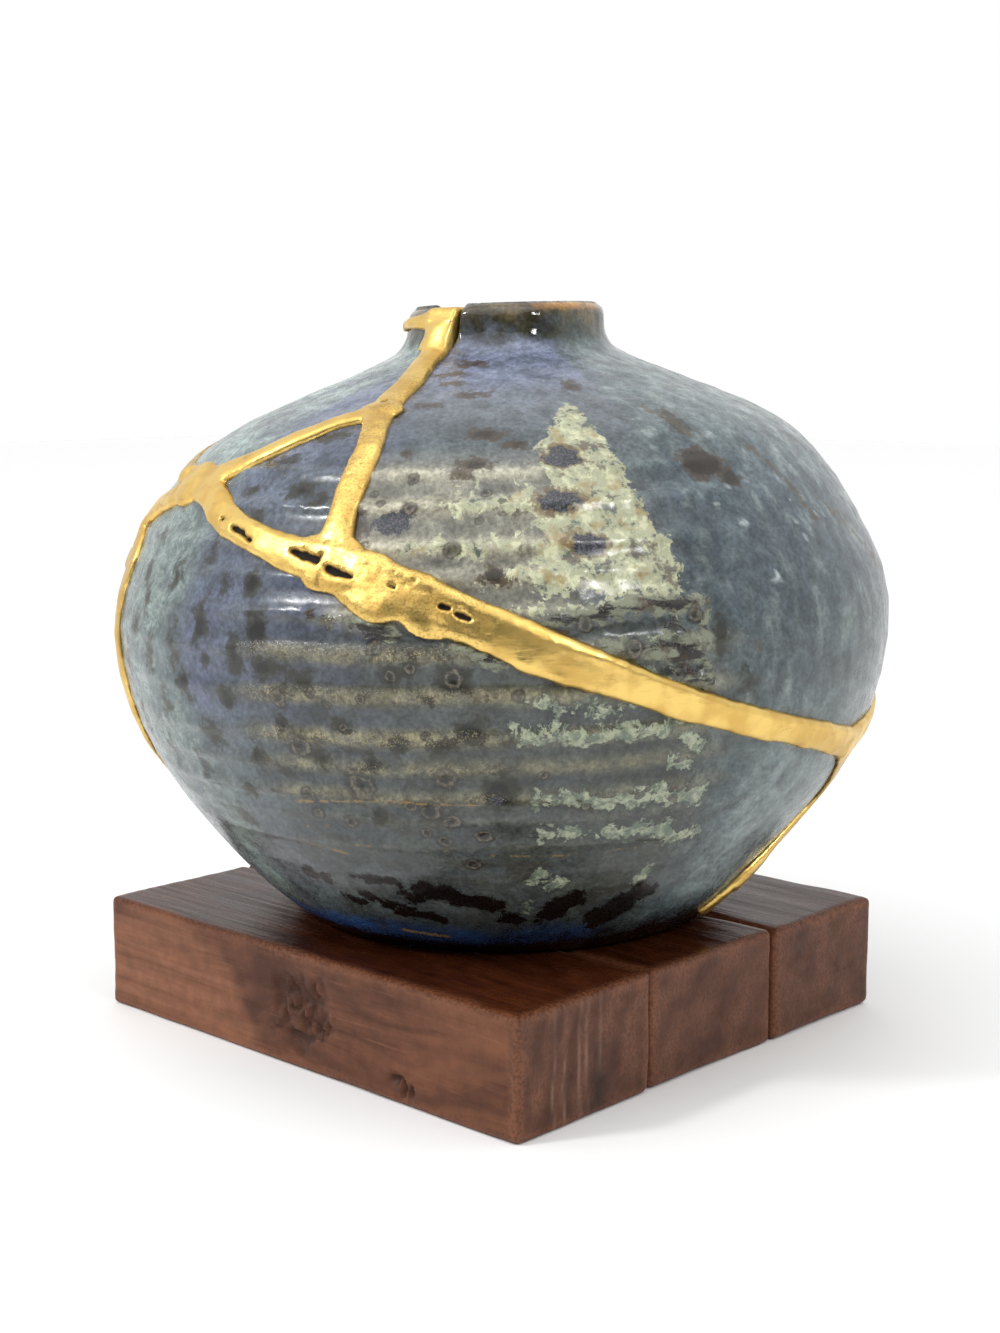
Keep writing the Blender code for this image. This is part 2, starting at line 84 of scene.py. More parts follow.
# The profile in shares of VASE_RADIUS and VASE_HEIGHT
OUTSIDE = [
    (0.543, 0.0), (0.567, 0.011), (0.605, 0.030), (0.658, 0.062), (0.722, 0.110), (0.790, 0.164),
    (0.871, 0.233), (0.932, 0.302), (0.973, 0.371), (0.996, 0.439), (1.0, 0.508), (0.978, 0.575),
    (0.928, 0.645), (0.876, 0.700), (0.818, 0.747), (0.751, 0.789), (0.662, 0.824), (0.540, 0.858),
    (0.407, 0.892), (0.298, 0.923), (0.263, 0.949), (0.256, 0.981),
]
LIP = [(0.247, 0.993), (0.229, 1.0), (0.208, 0.998), (0.194, 0.986)]
INSIDE = [
    (0.188, 0.955), (0.204, 0.925), (0.280, 0.882), (0.397, 0.849), (0.537, 0.815), (0.654, 0.782),
    (0.742, 0.744), (0.824, 0.688), (0.888, 0.620), (0.929, 0.546), (0.938, 0.478), (0.923, 0.411),
    (0.888, 0.344), (0.835, 0.277), (0.754, 0.206), (0.640, 0.130), (0.491, 0.075),
]
FLOOR = (0.0, 0.064)

# Seams: azimuth in degrees, height as a share of VASE_HEIGHT, gold width in mm
LEFT_NODE = (-108, 0.735, 7)
NECK_NODE = (-75, 0.839, 5.8)
FRONT_NODE = (-70, 0.634, 8.6)
RIGHT_NODE = (15, 0.305, 6.5)
BACK_NODE = (-120.5, 0.612, 5)
SEAMS = {
    "band": [
        LEFT_NODE, (-100, 0.722, 6), (-92, 0.690, 6.2), (-85, 0.668, 6), (-78, 0.649, 6.8),
        FRONT_NODE, (-60, 0.600, 8.6), (-50, 0.553, 8.6), (-40, 0.503, 8), (-29, 0.452, 6.8),
        (-19, 0.408, 6), (-5, 0.362, 5.8), RIGHT_NODE,
    ],
    "back": [
        RIGHT_NODE, (38, 0.325, 5.2), (66, 0.385, 5), (96, 0.372, 5), (128, 0.430, 5),
        (160, 0.492, 5), (192, 0.535, 5), (218, 0.598, 5), (239.5, 0.612, 5),
    ],
    "right": [
        RIGHT_NODE, (22.5, 0.240, 5.2), (25.5, 0.185, 5), (18.5, 0.125, 5), (10.5, 0.075, 5),
        (7, 0.030, 4.6),
    ],
    "left": [
        (-147.5, 0.030, 4.2), (-146, 0.075, 4.6), (-141, 0.150, 5), (-133, 0.240, 5),
        (-125.5, 0.330, 5.2), (-121.5, 0.430, 5.2), (-121.5, 0.520, 5), BACK_NODE,
        (-125.5, 0.674, 4.6), LEFT_NODE,
    ],
    "shoulder": [
        LEFT_NODE, (-116, 0.745, 5.2), (-126, 0.753, 5), (-137, 0.767, 4.6), (-147, 0.792, 4.4),
        (-154.5, 0.826, 4.2), (-159.5, 0.865, 4), (-162.5, 0.900, 4), (-164, 0.935, 3.8),
        (-165, 0.978, 3.6),
    ],
    "neck": [
        (-85, 0.980, 5.6), (-85, 0.970, 6.2), (-84.5, 0.945, 6.2), (-82, 0.912, 6),
        (-77, 0.880, 5.6), NECK_NODE, (-71, 0.800, 5.2), (-70.2, 0.750, 6.2), (-70.3, 0.700, 5.6),
        FRONT_NODE,
    ],
    "thin": [NECK_NODE, (-83, 0.822, 4.6), (-90, 0.796, 4.4), (-97, 0.764, 4.4), LEFT_NODE],
}

# How far each seam's gold stands out, in mm
PROUD = {
    "band": 1.35, "back": 1.05, "right": 0.85, "left": 0.85, "shoulder": 0.8, "neck": 1.1, "thin": 0.85,
}

# Throwing rings: height over the foot in mm, strength
RINGS = [
    (101.2, 0.8), (95.2, 1.0), (87.8, 1.0), (82.5, 0.8), (75.7, 0.9), (68.4, 1.0), (60.3, 1.0),
    (52.3, 1.0), (46.3, 0.8), (40.2, 0.8), (34.9, 0.4), (28.8, 0.35), (21.5, 0.15),
]


def smooth_line(points, steps):
    """A smooth curve that passes through all the points."""
    knots = [np.array(p, dtype=float) for p in points]
    knots = [2 * knots[0] - knots[1]] + knots + [2 * knots[-1] - knots[-2]]
    line = []
    for a, b, c, d in zip(knots, knots[1:], knots[2:], knots[3:]):
        for k in range(steps):
            t = k / steps
            bend = (2 * a - 5 * b + 4 * c - d) * t * t
            twist = (3 * b - 3 * c + d - a) * t ** 3
            line.append(0.5 * (2 * b + (c - a) * t + bend + twist))
    line.append(knots[-2])
    return np.array(line)


def smoothstep(low, high, value):
    t = np.clip((value - low) / (high - low), 0.0, 1.0)
    return t * t * (3 - 2 * t)


def fall(low, high, value):
    return 1 - smoothstep(low, high, value)


def between(value, low, rise, drop, high):
    """From 0 at low up to 1 at rise, and from 1 at drop down to 0 at high."""
    return smoothstep(low, rise, value) * fall(drop, high, value)


def bell(value, width):
    return np.exp(-(value / width) ** 2)


# Value noise

def hashed(cell, seed):
    """A number from -1 to 1 for each cell, scrambled by large odd factors."""
    n = (cell[..., 0] * 374761393 + cell[..., 1] * 668265263 + cell[..., 2] * 1442695041 + seed * 974711)
    n = n & 0xFFFFFFFF
    n = ((n ^ (n >> 13)) * 1274126177) & 0xFFFFFFFF
    return ((n ^ (n >> 16)) & 0xFFFF) / 32767.5 - 1.0


def noise(points, size, seed):
    """Smooth noise from -1 to 1 over points, with lumps of about that size in mm."""
    spots = points / (size * MM)
    cell = np.floor(spots).astype(np.int64)
    t = spots - cell
    t = t * t * (3 - 2 * t)
    total = np.zeros(len(points))
    for corner in range(8):
        step = np.array([corner & 1, corner >> 1 & 1, corner >> 2 & 1])
        weight = np.prod(np.where(step, t, 1 - t), axis=1)
        total += weight * hashed(cell + step, seed)
    return total


def cloud(points, size, seed, layers=3):
    """Layered noise: each layer is half the size and a little over half the strength."""
    total = np.zeros(len(points))
    strength = 1.0
    whole = 0.0
    for layer in range(layers):
        total += strength * noise(points, size / 2 ** layer, seed + 17 * layer)
        whole += strength
        strength *= 0.55
    return total / whole * 1.5


# The vase's own coordinates

def lean_rise(side, height):
    start = np.clip(height / LEAN_START, 0.0, 1.0)
    return LEAN * side * start * start * (3 - 2 * start)


LEAN_WAY = np.array([math.cos(math.radians(LEAN_AZIMUTH)), math.sin(math.radians(LEAN_AZIMUTH))])


def sway(height):
    shares = [s for s, _ in SWAY]
    shifts = [m for _, m in SWAY]
    return MM * np.interp(height / VASE_HEIGHT, shares, shifts)


def to_row(azimuth, radius, height):
    """Points in the row's frame from the vase's own azimuth, radius and height, all arrays."""
    turn = np.radians(azimuth)
    flat = np.stack([radius * np.cos(turn), radius * np.sin(turn)], axis=1)
    side = flat @ LEAN_WAY
    flat = flat + AXIS + sway(height)[:, None] * LEAN_WAY
    rise = BASE_THICKNESS + GAP + height + lean_rise(side, height)
    return np.column_stack([flat, rise])


def to_vase(points):
    """The inverse of to_row."""
    height = points[:, 2] - BASE_THICKNESS - GAP
    for _ in range(4):
        flat = points[:, :2] - AXIS - sway(height)[:, None] * LEAN_WAY
        height = points[:, 2] - BASE_THICKNESS - GAP - lean_rise(flat @ LEAN_WAY, height)
    azimuth = np.degrees(np.arctan2(flat[:, 1], flat[:, 0]))
    return azimuth, np.hypot(flat[:, 0], flat[:, 1]), height


# The profile from the foot over the lip to the floor inside, with the run along it
PROFILE_STEPS = 16
SIZE = np.array([VASE_RADIUS, VASE_HEIGHT])
SKIN = smooth_line(OUTSIDE + LIP + INSIDE, PROFILE_STEPS) * SIZE
SKIN = np.vstack([SKIN, np.array(FLOOR) * SIZE])
SKIN_RUN = np.concatenate([[0.0], np.cumsum(np.linalg.norm(np.diff(SKIN, axis=0), axis=1))])
SKIN_WAY = np.gradient(SKIN, axis=0)
SKIN_WAY /= np.linalg.norm(SKIN_WAY, axis=1)[:, None]
SKIN_NORMAL = np.column_stack([SKIN_WAY[:, 1], -SKIN_WAY[:, 0]])
OUTER = slice(0, (len(OUTSIDE) - 1) * PROFILE_STEPS + 1)
LIP_RUN = SKIN_RUN[(len(OUTSIDE) + 1) * PROFILE_STEPS]


def along_skin(table, run):
    """Both columns of a table of the profile's points, at a run along the profile."""
    return np.column_stack([np.interp(run, SKIN_RUN, table[:, k]) for k in range(2)])


def on_skin(radius, height):
    """The nearest skin point: its run along the profile, the point, its normal and the distance."""
    spots = np.column_stack([radius, height])
    near = np.empty(len(spots), dtype=int)
    batch = 8000
    for start in range(0, len(spots), batch):
        part = spots[start:start + batch]
        gap = (part[:, None, 0] - SKIN[None, :, 0]) ** 2 + (part[:, None, 1] - SKIN[None, :, 1]) ** 2
        near[start:start + batch] = gap.argmin(axis=1)
    along = np.einsum("ij,ij->i", spots - SKIN[near], SKIN_WAY[near])
    run = np.clip(SKIN_RUN[near] + along, 0.0, SKIN_RUN[-1])
    foot = along_skin(SKIN, run)
    normal = along_skin(SKIN_NORMAL, run)
    lift = np.einsum("ij,ij->i", spots - foot, normal)
    return run, foot, normal, lift


def run_at(height_mm):
    """The run along the outside at a height over the foot in mm."""
    return np.interp(np.asarray(height_mm) * MM, SKIN[OUTER, 1], SKIN_RUN[OUTER])


def outer_radius(run):
    return np.interp(run, SKIN_RUN, SKIN[:, 0])


def wall_points(azimuth, share, lift=0.0):
    """Points over the outside from azimuth and height share, lifted along the wall's normal."""
    run = run_at(np.asarray(share) * VASE_HEIGHT / MM)
    radius, height = (along_skin(SKIN, run) + lift * along_skin(SKIN_NORMAL, run)).T
    return to_row(np.asarray(azimuth, dtype=float), radius, height)


def turn_from(azimuth, centre):
    """Degrees from centre, between -180 and 180."""
    return (azimuth - centre + 180.0) % 360.0 - 180.0


def window(azimuth, low, high, soft):
    """1 between two azimuths, fading over soft degrees outside them."""
    middle = (low + high) / 2
    out = np.abs(turn_from(azimuth, middle)) - (high - low) / 2
    return fall(0.0, soft, out)


def near_spot(azimuth, run, spot_azimuth, spot_height):
    """Steps round and up the wall in mm from a spot given by azimuth and height in mm."""
    spot_run = run_at(spot_height)
    across = np.radians(turn_from(azimuth, spot_azimuth)) * outer_radius(run)
    return across / MM, (run - spot_run) / MM


# Mesh helpers

def place(name, data):
    """A new object in the scene."""
    obj = bpy.data.objects.new(name, data)
    bpy.context.scene.collection.objects.link(obj)
    return obj


def mesh_object(name, verts, faces):
    mesh = bpy.data.meshes.new(name)
    mesh.from_pydata([tuple(v) for v in verts], [], faces)
    mesh.update()
    return place(name, mesh)


def apply_all(obj):
    graph = bpy.context.evaluated_depsgraph_get()
    graph.update()
    mesh = bpy.data.meshes.new_from_object(obj.evaluated_get(graph))
    obj.modifiers.clear()
    old = obj.data
    obj.data = mesh
    bpy.data.meshes.remove(old)


def drop(obj):
    mesh = obj.data
    bpy.data.objects.remove(obj)
    bpy.data.meshes.remove(mesh)


def voxel_remesh(obj, voxel):
    step = obj.modifiers.new("Remesh", "REMESH")
    step.mode = "VOXEL"
    step.voxel_size = voxel * MM
    step.use_smooth_shade = True
    apply_all(obj)


def read_points(mesh):
    points = np.empty(len(mesh.vertices) * 3)
    mesh.vertices.foreach_get("co", points)
    return points.reshape(-1, 3)


def write_points(mesh, points):
    low, high = np.array(CAD_BOX[0]), np.array(CAD_BOX[1])
    mesh.vertices.foreach_set("co", np.clip(points, low, high).ravel())
    mesh.update()


def read_normals(mesh):
    normals = np.empty(len(mesh.vertices) * 3)
    mesh.vertex_normals.foreach_get("vector", normals)
    return normals.reshape(-1, 3)


def paint(mesh, name, values):
    """Store a number for each vertex, or a colour for each if there are three columns."""
    if values.ndim == 2:
        layer = mesh.attributes.new(name, "FLOAT_COLOR", "POINT")
        full = np.column_stack([values, np.ones(len(values))])
        layer.data.foreach_set("color", full.ravel())
    else:
        layer = mesh.attributes.new(name, "FLOAT", "POINT")
        layer.data.foreach_set("value", values)


def smooth_shade(mesh):
    mesh.polygons.foreach_set("use_smooth", np.ones(len(mesh.polygons), dtype=bool))
    mesh.update()


# Glaze relief and colours

def ring_field(azimuth, run, points, width=1.5):
    """How far each outside point is up a throwing ring's ridge, from 0 to 1."""
    wander = 0.5 * noise(points, 22, 5) + 0.25 * noise(points, 7, 6)
    field = np.zeros(len(run))
    for height, strength in RINGS:
        spot = (run - run_at(height)) / MM + wander
        field += strength * bell(spot, width)
    front = window(azimuth, -95, -22, 22)
    return field * (0.22 + 0.78 * front)


# Glaze features read off the photo. A spot is an azimuth in degrees, a height over the foot in mm and
# half a width and half a height in mm. A stroke runs from one azimuth and height to another and has
# half a width in mm. A crater has a radius in mm. FAR is the field, in mm, where none of a set is near.
FAR = -9.0
SMEARS = [
    (-109.5, 70, 1.6, 2.4), (-104, 66, 1.4, 2.6), (-91, 73, 1.8, 3.9), (-80.5, 72, 2.4, 4.0),
    (-82.5, 80.5, 2.0, 2.4), (-79, 65, 3.2, 2.2), (-73.5, 63, 2.4, 1.4), (-86, 58.5, 2.0, 2.2),
    (-90.5, 50.5, 2.6, 2.4), (-101, 55, 1.6, 2.6), (-82.5, 47, 1.8, 2.2), (-87, 39.5, 2.0, 1.8),
    (-109, 81, 1.4, 2.2), (-109.5, 88.5, 1.6, 1.8), (-89.5, 65.5, 1.4, 1.4), (-99, 81, 1.4, 2.6),
    (-87, 80, 1.0, 1.4), (-79.5, 98, 2.8, 1.8), (-87, 103, 3.2, 1.5), (-89.5, 98, 1.6, 1.4),
    (-75, 96, 1.5, 1.5), (-81, 108, 3.6, 1.0), (-26, 59.5, 1.6, 1.2), (-13.5, 59, 1.2, 2.2),
    (-12, 109, 1.9, 4.0), (-18, 68.5, 1.2, 2.4), (-61, 64.5, 1.7, 1.7), (-58.5, 66, 1.6, 1.5),
    (-53, 63.8, 3.0, 2.4), (-56.5, 60, 1.4, 1.2), (-51, 53.6, 3.2, 2.4), (-60.5, 51, 2.0, 1.6),
    (-64.5, 47, 2.2, 1.8), (-54.5, 51, 2.6, 1.8), (-72, 47.5, 1.7, 1.4), (-68, 54.5, 1.4, 1.3),
    (-48, 41, 3.4, 3.4), (-66, 36, 1.6, 1.4), (-78, 45, 1.5, 1.3), (-114, 62, 1.6, 3.0),
    (-106, 76, 1.3, 2.0), (-97, 68, 1.5, 3.4), (-94.5, 60, 1.8, 2.6), (-112, 50, 1.5, 2.4),
    (-104, 44, 1.6, 2.8), (-96, 43, 1.8, 2.2), (-92, 32, 1.7, 2.4), (-84, 67, 1.6, 3.2),
    (-77, 54, 1.8, 1.6), (-92, 86, 1.3, 2.2), (-85.5, 92, 1.5, 1.6), (-118, 74, 1.4, 2.6),
]
BROWNS = [
    (-60, 121.5, 3.6, 2.0), (-56.5, 115.5, 4.2, 1.9), (-64.5, 113.5, 2.8, 1.7), (-50.5, 108, 4.8, 2.1),
    (-44.5, 106, 2.6, 1.7), (-51, 102.5, 3.8, 2.1), (-28.5, 116.5, 1.9, 3.6), (-53, 100.5, 2.4, 1.5),
    (-60, 94.5, 1.6, 1.2), (-53, 87.2, 1.8, 1.3), (-47.5, 82.5, 3.4, 2.2), (-45, 95, 3.0, 1.6),
    (-66, 119.5, 3.6, 1.4), (-63.5, 117.6, 2.6, 1.1), (-12.5, 101, 5.6, 4.2), (-8.0, 97.6, 2.8, 2.8),
    (-68, 92, 2.6, 4.2), (-66, 88.5, 1.8, 1.6), (-63.5, 105, 1.6, 1.2), (-36, 37.5, 2.8, 1.9),
    (-28.5, 38.6, 2.2, 1.6), (-23, 38, 3.0, 2.2), (-72, 112, 1.4, 2.2),
]
SLATES = [
    (-62, 92, 4.6, 2.7), (-37, 103.2, 4.0, 3.0), (-38.5, 95.3, 4.2, 2.6), (-35, 87.2, 3.4, 2.6),
    (-48.5, 39.5, 2.0, 1.6),
]
CRATERS = [
    (-75, 50.3, 2.0), (-77, 59.7, 1.5), (-67, 42.2, 2.3), (-55, 44.2, 1.9), (-58, 37.5, 2.0),
    (-55, 34.9, 1.5), (-56.5, 30.2, 1.2), (-60.5, 38.4, 1.3), (-76, 39.6, 1.4), (-75.5, 35.5, 1.1),
    (-70.5, 34.2, 1.3), (-59, 32.2, 1.0), (-52.5, 24.8, 1.3), (-50.5, 31.5, 1.4), (-60.5, 100, 0.9),
    (-49, 97.2, 0.8), (-49.8, 92.4, 0.7), (-53.2, 87.1, 1.3), (-60, 94.6, 1.1), (-64.6, 95.6, 0.8),
    (-66.2, 97.4, 0.7), (-63, 69.7, 1.2), (-61, 64.4, 1.0), (-58.5, 65.8, 0.9), (-53, 63.8, 1.6),
    (-68, 54.4, 0.8), (-36.5, 73.1, 1.3), (-30.5, 68.4, 1.5), (-21.5, 73.7, 1.3), (-26, 59.7, 1.0),
    (-36, 37.3, 0.8), (-28.5, 38.9, 0.8), (-23, 37.4, 0.9), (-46.5, 95.6, 0.6), (-65, 60, 0.8),
    (-72, 61, 0.9), (-70, 58.6, 0.8), (-45, 60.5, 1.0), (-57, 53, 0.7), (-42, 44.5, 0.9),
]
DASHES = [
    (-46, 53.4, -40, 52.6, 1.2), (-40, 52.6, -23.5, 51.2, 1.8), (-23.5, 51.2, -21, 48.5, 1.7),
    (-42, 39.4, -34, 39.0, 2.0), (-34, 38.6, -25, 38.4, 2.2), (-25, 38.0, -19.5, 37.6, 2.3),
    (-42, 31.6, -25, 30.4, 1.5), (-26, 30.6, -17.5, 28.0, 2.2), (-41.5, 21.0, -38.5, 19.0, 1.9),
    (-21.5, 21.5, -22.5, 17.0, 1.3), (-42.6, 13.4, -42.4, 10.4, 0.9), (-24, 45.5, -20.5, 44.6, 1.0),
    (-43, 59.0, -30, 57.2, 0.9), (-34, 67.0, -24, 70.6, 1.5), (-29, 63.0, -24, 62.0, 1.2),
]
RUNS = [
    (-41.5, 73.4, -30, 76.0, 1.5), (-30, 76.0, -21, 75.6, 2.0), (-20.6, 75.0, -20.4, 60.6, 1.3),
    (-34, 68.6, -22, 66.4, 2.0), (-26, 71.0, -21.5, 70.0, 1.6), (-25, 63.5, -21, 61.4, 1.6),
    (-72, 75.0, -66, 74.6, 1.3), (-66, 74.6, -61, 72.8, 1.6), (-53, 70.0, -47, 66.6, 1.4),
]
INKS = [
    (-62, 18.2, -54.5, 15.2, 2.3), (-66, 16.8, -64.5, 15.6, 1.4), (-67.5, 19.4, -65.8, 18.6, 0.8),
    (-85, 19.8, -80.5, 17.8, 1.0), (-74.5, 20.6, -70.5, 19.4, 0.8), (-79, 14, -76, 13, 0.9),
    (-75, 15.4, -70, 13, 1.0), (-39.5, 11.0, -35, 14.8, 2.4), (-28, 9.0, -21, 14.6, 2.9),
    (-54, 15.4, -49, 13.6, 1.7), (-47, 10.5, -44, 9.5, 1.3), (-68, 11.5, -60, 9.5, 1.2),
]
HAIRLINES = [
    (-49.5, 26.8, -38, 26.0, 0.24), (-38, 26.0, -26, 26.4, 0.20), (-83, 31.4, -74, 32.6, 0.20),
    (-83, 28.4, -77, 27.0, 0.30), (-77, 27.0, -73, 25.8, 0.42), (-73, 28.4, -64.5, 28.9, 0.22),
    (-60, 27.8, -54, 28.4, 0.16), (-70, 5.6, -60, 4.6, 0.7), (-79, 37.6, -64, 39.4, 0.34),
    (-64, 39.4, -50.5, 38.4, 0.40),
]
STREAKS = [
    (1, 104, 8, 89, 0.9), (12, 92.5, 27, 76, 0.9), (-15, 112, -11, 106, 1.0),
    (-12, 66.5, -11.8, 66.3, 0.8), (-4, 65, -3.8, 65, 0.8),
]

# The cream patch on the right of the shoulder: azimuth, height mm, corner by corner
PATCH = [
    (-31.5, 113.2), (-29.5, 108.0), (-28.5, 103.0), (-27.2, 98.0), (-25.6, 93.0), (-24.0, 88.0),
    (-22.6, 82.0), (-22.0, 76.4), (-24.5, 75.0), (-32.0, 77.5), (-40.0, 78.6), (-43.0, 81.5),
    (-41.5, 86.0), (-42.0, 90.0), (-40.0, 95.5), (-41.0, 101.0), (-40.5, 106.5), (-36.5, 111.0),
]


def inside_outline(azimuth, run, outline):
    """Signed distance in mm to an outline on the wall, positive inside."""
    middle = outline[0][0]
    x = np.radians(turn_from(azimuth, middle)) * VASE_RADIUS / MM
    y = run / MM
    corners = [(math.radians(a - middle) * VASE_RADIUS / MM, float(run_at(h)) / MM) for a, h in outline]
    best = np.full(len(run), 1e9)
    odd = np.zeros(len(run), dtype=bool)
    for (ax, ay), (bx, by) in zip(corners, corners[1:] + corners[:1]):
        length = (bx - ax) ** 2 + (by - ay) ** 2
        t = np.clip(((x - ax) * (bx - ax) + (y - ay) * (by - ay)) / length, 0, 1)
        best = np.minimum(best, np.hypot(x - ax - t * (bx - ax), y - ay - t * (by - ay)))
        crosses = ((ay > y) != (by > y)) & (x < (bx - ax) * (y - ay) / (by - ay + 1e-12) + ax)
        odd ^= crosses
    return np.where(odd, best, -best)


def spots_field(azimuth, run, spots):
    """Signed distance in mm to the nearest of a set of oval spots, positive inside."""
    field = np.full(len(run), FAR)
    for spot_azimuth, height, wide, tall in spots:
        x, y = near_spot(azimuth, run, spot_azimuth, height)
        field = np.maximum(field, (1.0 - np.hypot(x / wide, y / tall)) * min(wide, tall))
    return field


def strokes_field(azimuth, run, strokes):
    """Signed distance in mm to the nearest of a set of strokes, positive inside."""
    field = np.full(len(run), FAR)
    for start_azimuth, start_height, end_azimuth, end_height, half in strokes:
        x, y = near_spot(azimuth, run, start_azimuth, start_height)
        reach = np.radians(end_azimuth - start_azimuth) * outer_radius(run) / MM
        climb = (run_at(end_height) - run_at(start_height)) / MM
        length = reach * reach + climb * climb + 1e-6
        t = np.clip((x * reach + y * climb) / length, 0.0, 1.0)
        field = np.maximum(field, half - np.hypot(x - t * reach, y - t * climb))
    return field


def crater_field(azimuth, run, craters):
    """Distance to the nearest crater's centre, in that crater's radii, up to 3."""
    field = np.full(len(run), 3.0)
    for crater_azimuth, height, radius in craters:
        x, y = near_spot(azimuth, run, crater_azimuth, height)
        field = np.minimum(field, np.hypot(x, y) / radius)
    return field


def glaze_relief(azimuth, run, points, outer):
    """Height of the glaze over the plain skin, in mm."""
    ring = ring_field(azimuth, run, points)
    up = run / MM
    front = window(azimuth, -95, -22, 20)
    height = 0.14 * cloud(points, 16, 1) - 0.40 + 0.66 * ring
    crust = ring * front * smoothstep(26, 40, up) * fall(118, 130, up)
    height += 0.09 * crust * noise(points, 1.3, 7)
    fine = noise(points, 1.5, 8)
    lumps = cloud(points, 3.4, 9, 2)
    patch = inside_outline(azimuth, run, PATCH) + 1.6 * lumps
    height += 0.22 * smoothstep(-0.4, 0.8, patch) * (1 + 0.7 * lumps + 0.4 * fine)
    dash = strokes_field(azimuth, run, DASHES) + 0.8 * lumps
    height += 0.18 * smoothstep(-0.2, 0.7, dash)
    drips = strokes_field(azimuth, run, RUNS) + 0.9 * lumps
    height += smoothstep(-0.3, 1.4, drips) * (0.85 + 0.55 * lumps + 0.3 * fine)
    crater = crater_field(azimuth, run, CRATERS)
    height += 0.10 * bell(crater - 0.95, 0.28) - 0.28 * bell(crater, 0.6)
    height += 0.16 * smoothstep(128, 140, up) * cloud(points, 3.0, 19)
    return height * outer


def dress_shard(name, voxel, material):
    obj = place(name + "_glazed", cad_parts[name].data.copy())
    obj.data.materials.clear()
    voxel_remesh(obj, voxel)
    points = read_points(obj.data)
    azimuth, radius, height = to_vase(points)
    run, foot, normal, lift = on_skin(radius, height)
    outer = (run < LIP_RUN).astype(float)
    held = np.abs(lift) < 0.8 * MM
    relief = glaze_relief(azimuth, run, points, outer) * MM
    spots = foot + normal * relief[:, None]
    moved = to_row(azimuth, spots[:, 0], spots[:, 1])
    points = np.where(held[:, None], moved, points)
    write_points(obj.data, points)
    smooth_shade(obj.data)
    paint_glaze(obj.data, azimuth, run, points, outer)
    obj.data.materials.append(material)
    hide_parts(name)
    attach(obj, "root")


def mix(colour, other, share):
    share = np.clip(share, 0.0, 1.0)[:, None]
    return colour * (1 - share) + np.asarray(other) * share


def srgb(red, green, blue):
    """Linear colour from the 0 to 255 values that a screen shows."""
    part = np.array([red, green, blue]) / 255.0
    return np.where(part < 0.04045, part / 12.92, ((part + 0.055) / 1.055) ** 2.4)


BLUE_GREY = srgb(106, 114, 120)
TEAL = srgb(112, 126, 128)
PALE_GREEN = srgb(146, 164, 158)
SEA_GREY = srgb(88, 104, 112)
LAVENDER = srgb(100, 109, 134)
DULL_OLIVE = srgb(98, 100, 88)
COOL_GREY = srgb(122, 130, 142)
LILAC = srgb(132, 142, 170)
SLATE = srgb(98, 112, 114)
DEEP_SLATE = srgb(84, 98, 108)
MILK_TEAL = srgb(158, 174, 174)
PALE_TEAL = srgb(158, 170, 167)
DARK_TEAL = srgb(60, 76, 86)
FLECK = srgb(196, 206, 206)
GREEN_GREY = srgb(106, 112, 102)
TAN_GREY = srgb(170, 164, 132)
STONE = srgb(164, 162, 146)
CREAM_TAN = srgb(222, 216, 190)
UMBER = srgb(92, 88, 74)
FOOT_GREY = srgb(74, 88, 92)
INK = srgb(12, 15, 16)
COBALT = srgb(64, 122, 196)
NECK_OLIVE = srgb(66, 67, 52)
NECK_BROWN = srgb(138, 118, 84)
RIM_OCHRE = srgb(176, 128, 66)
INNER = srgb(84, 88, 82)


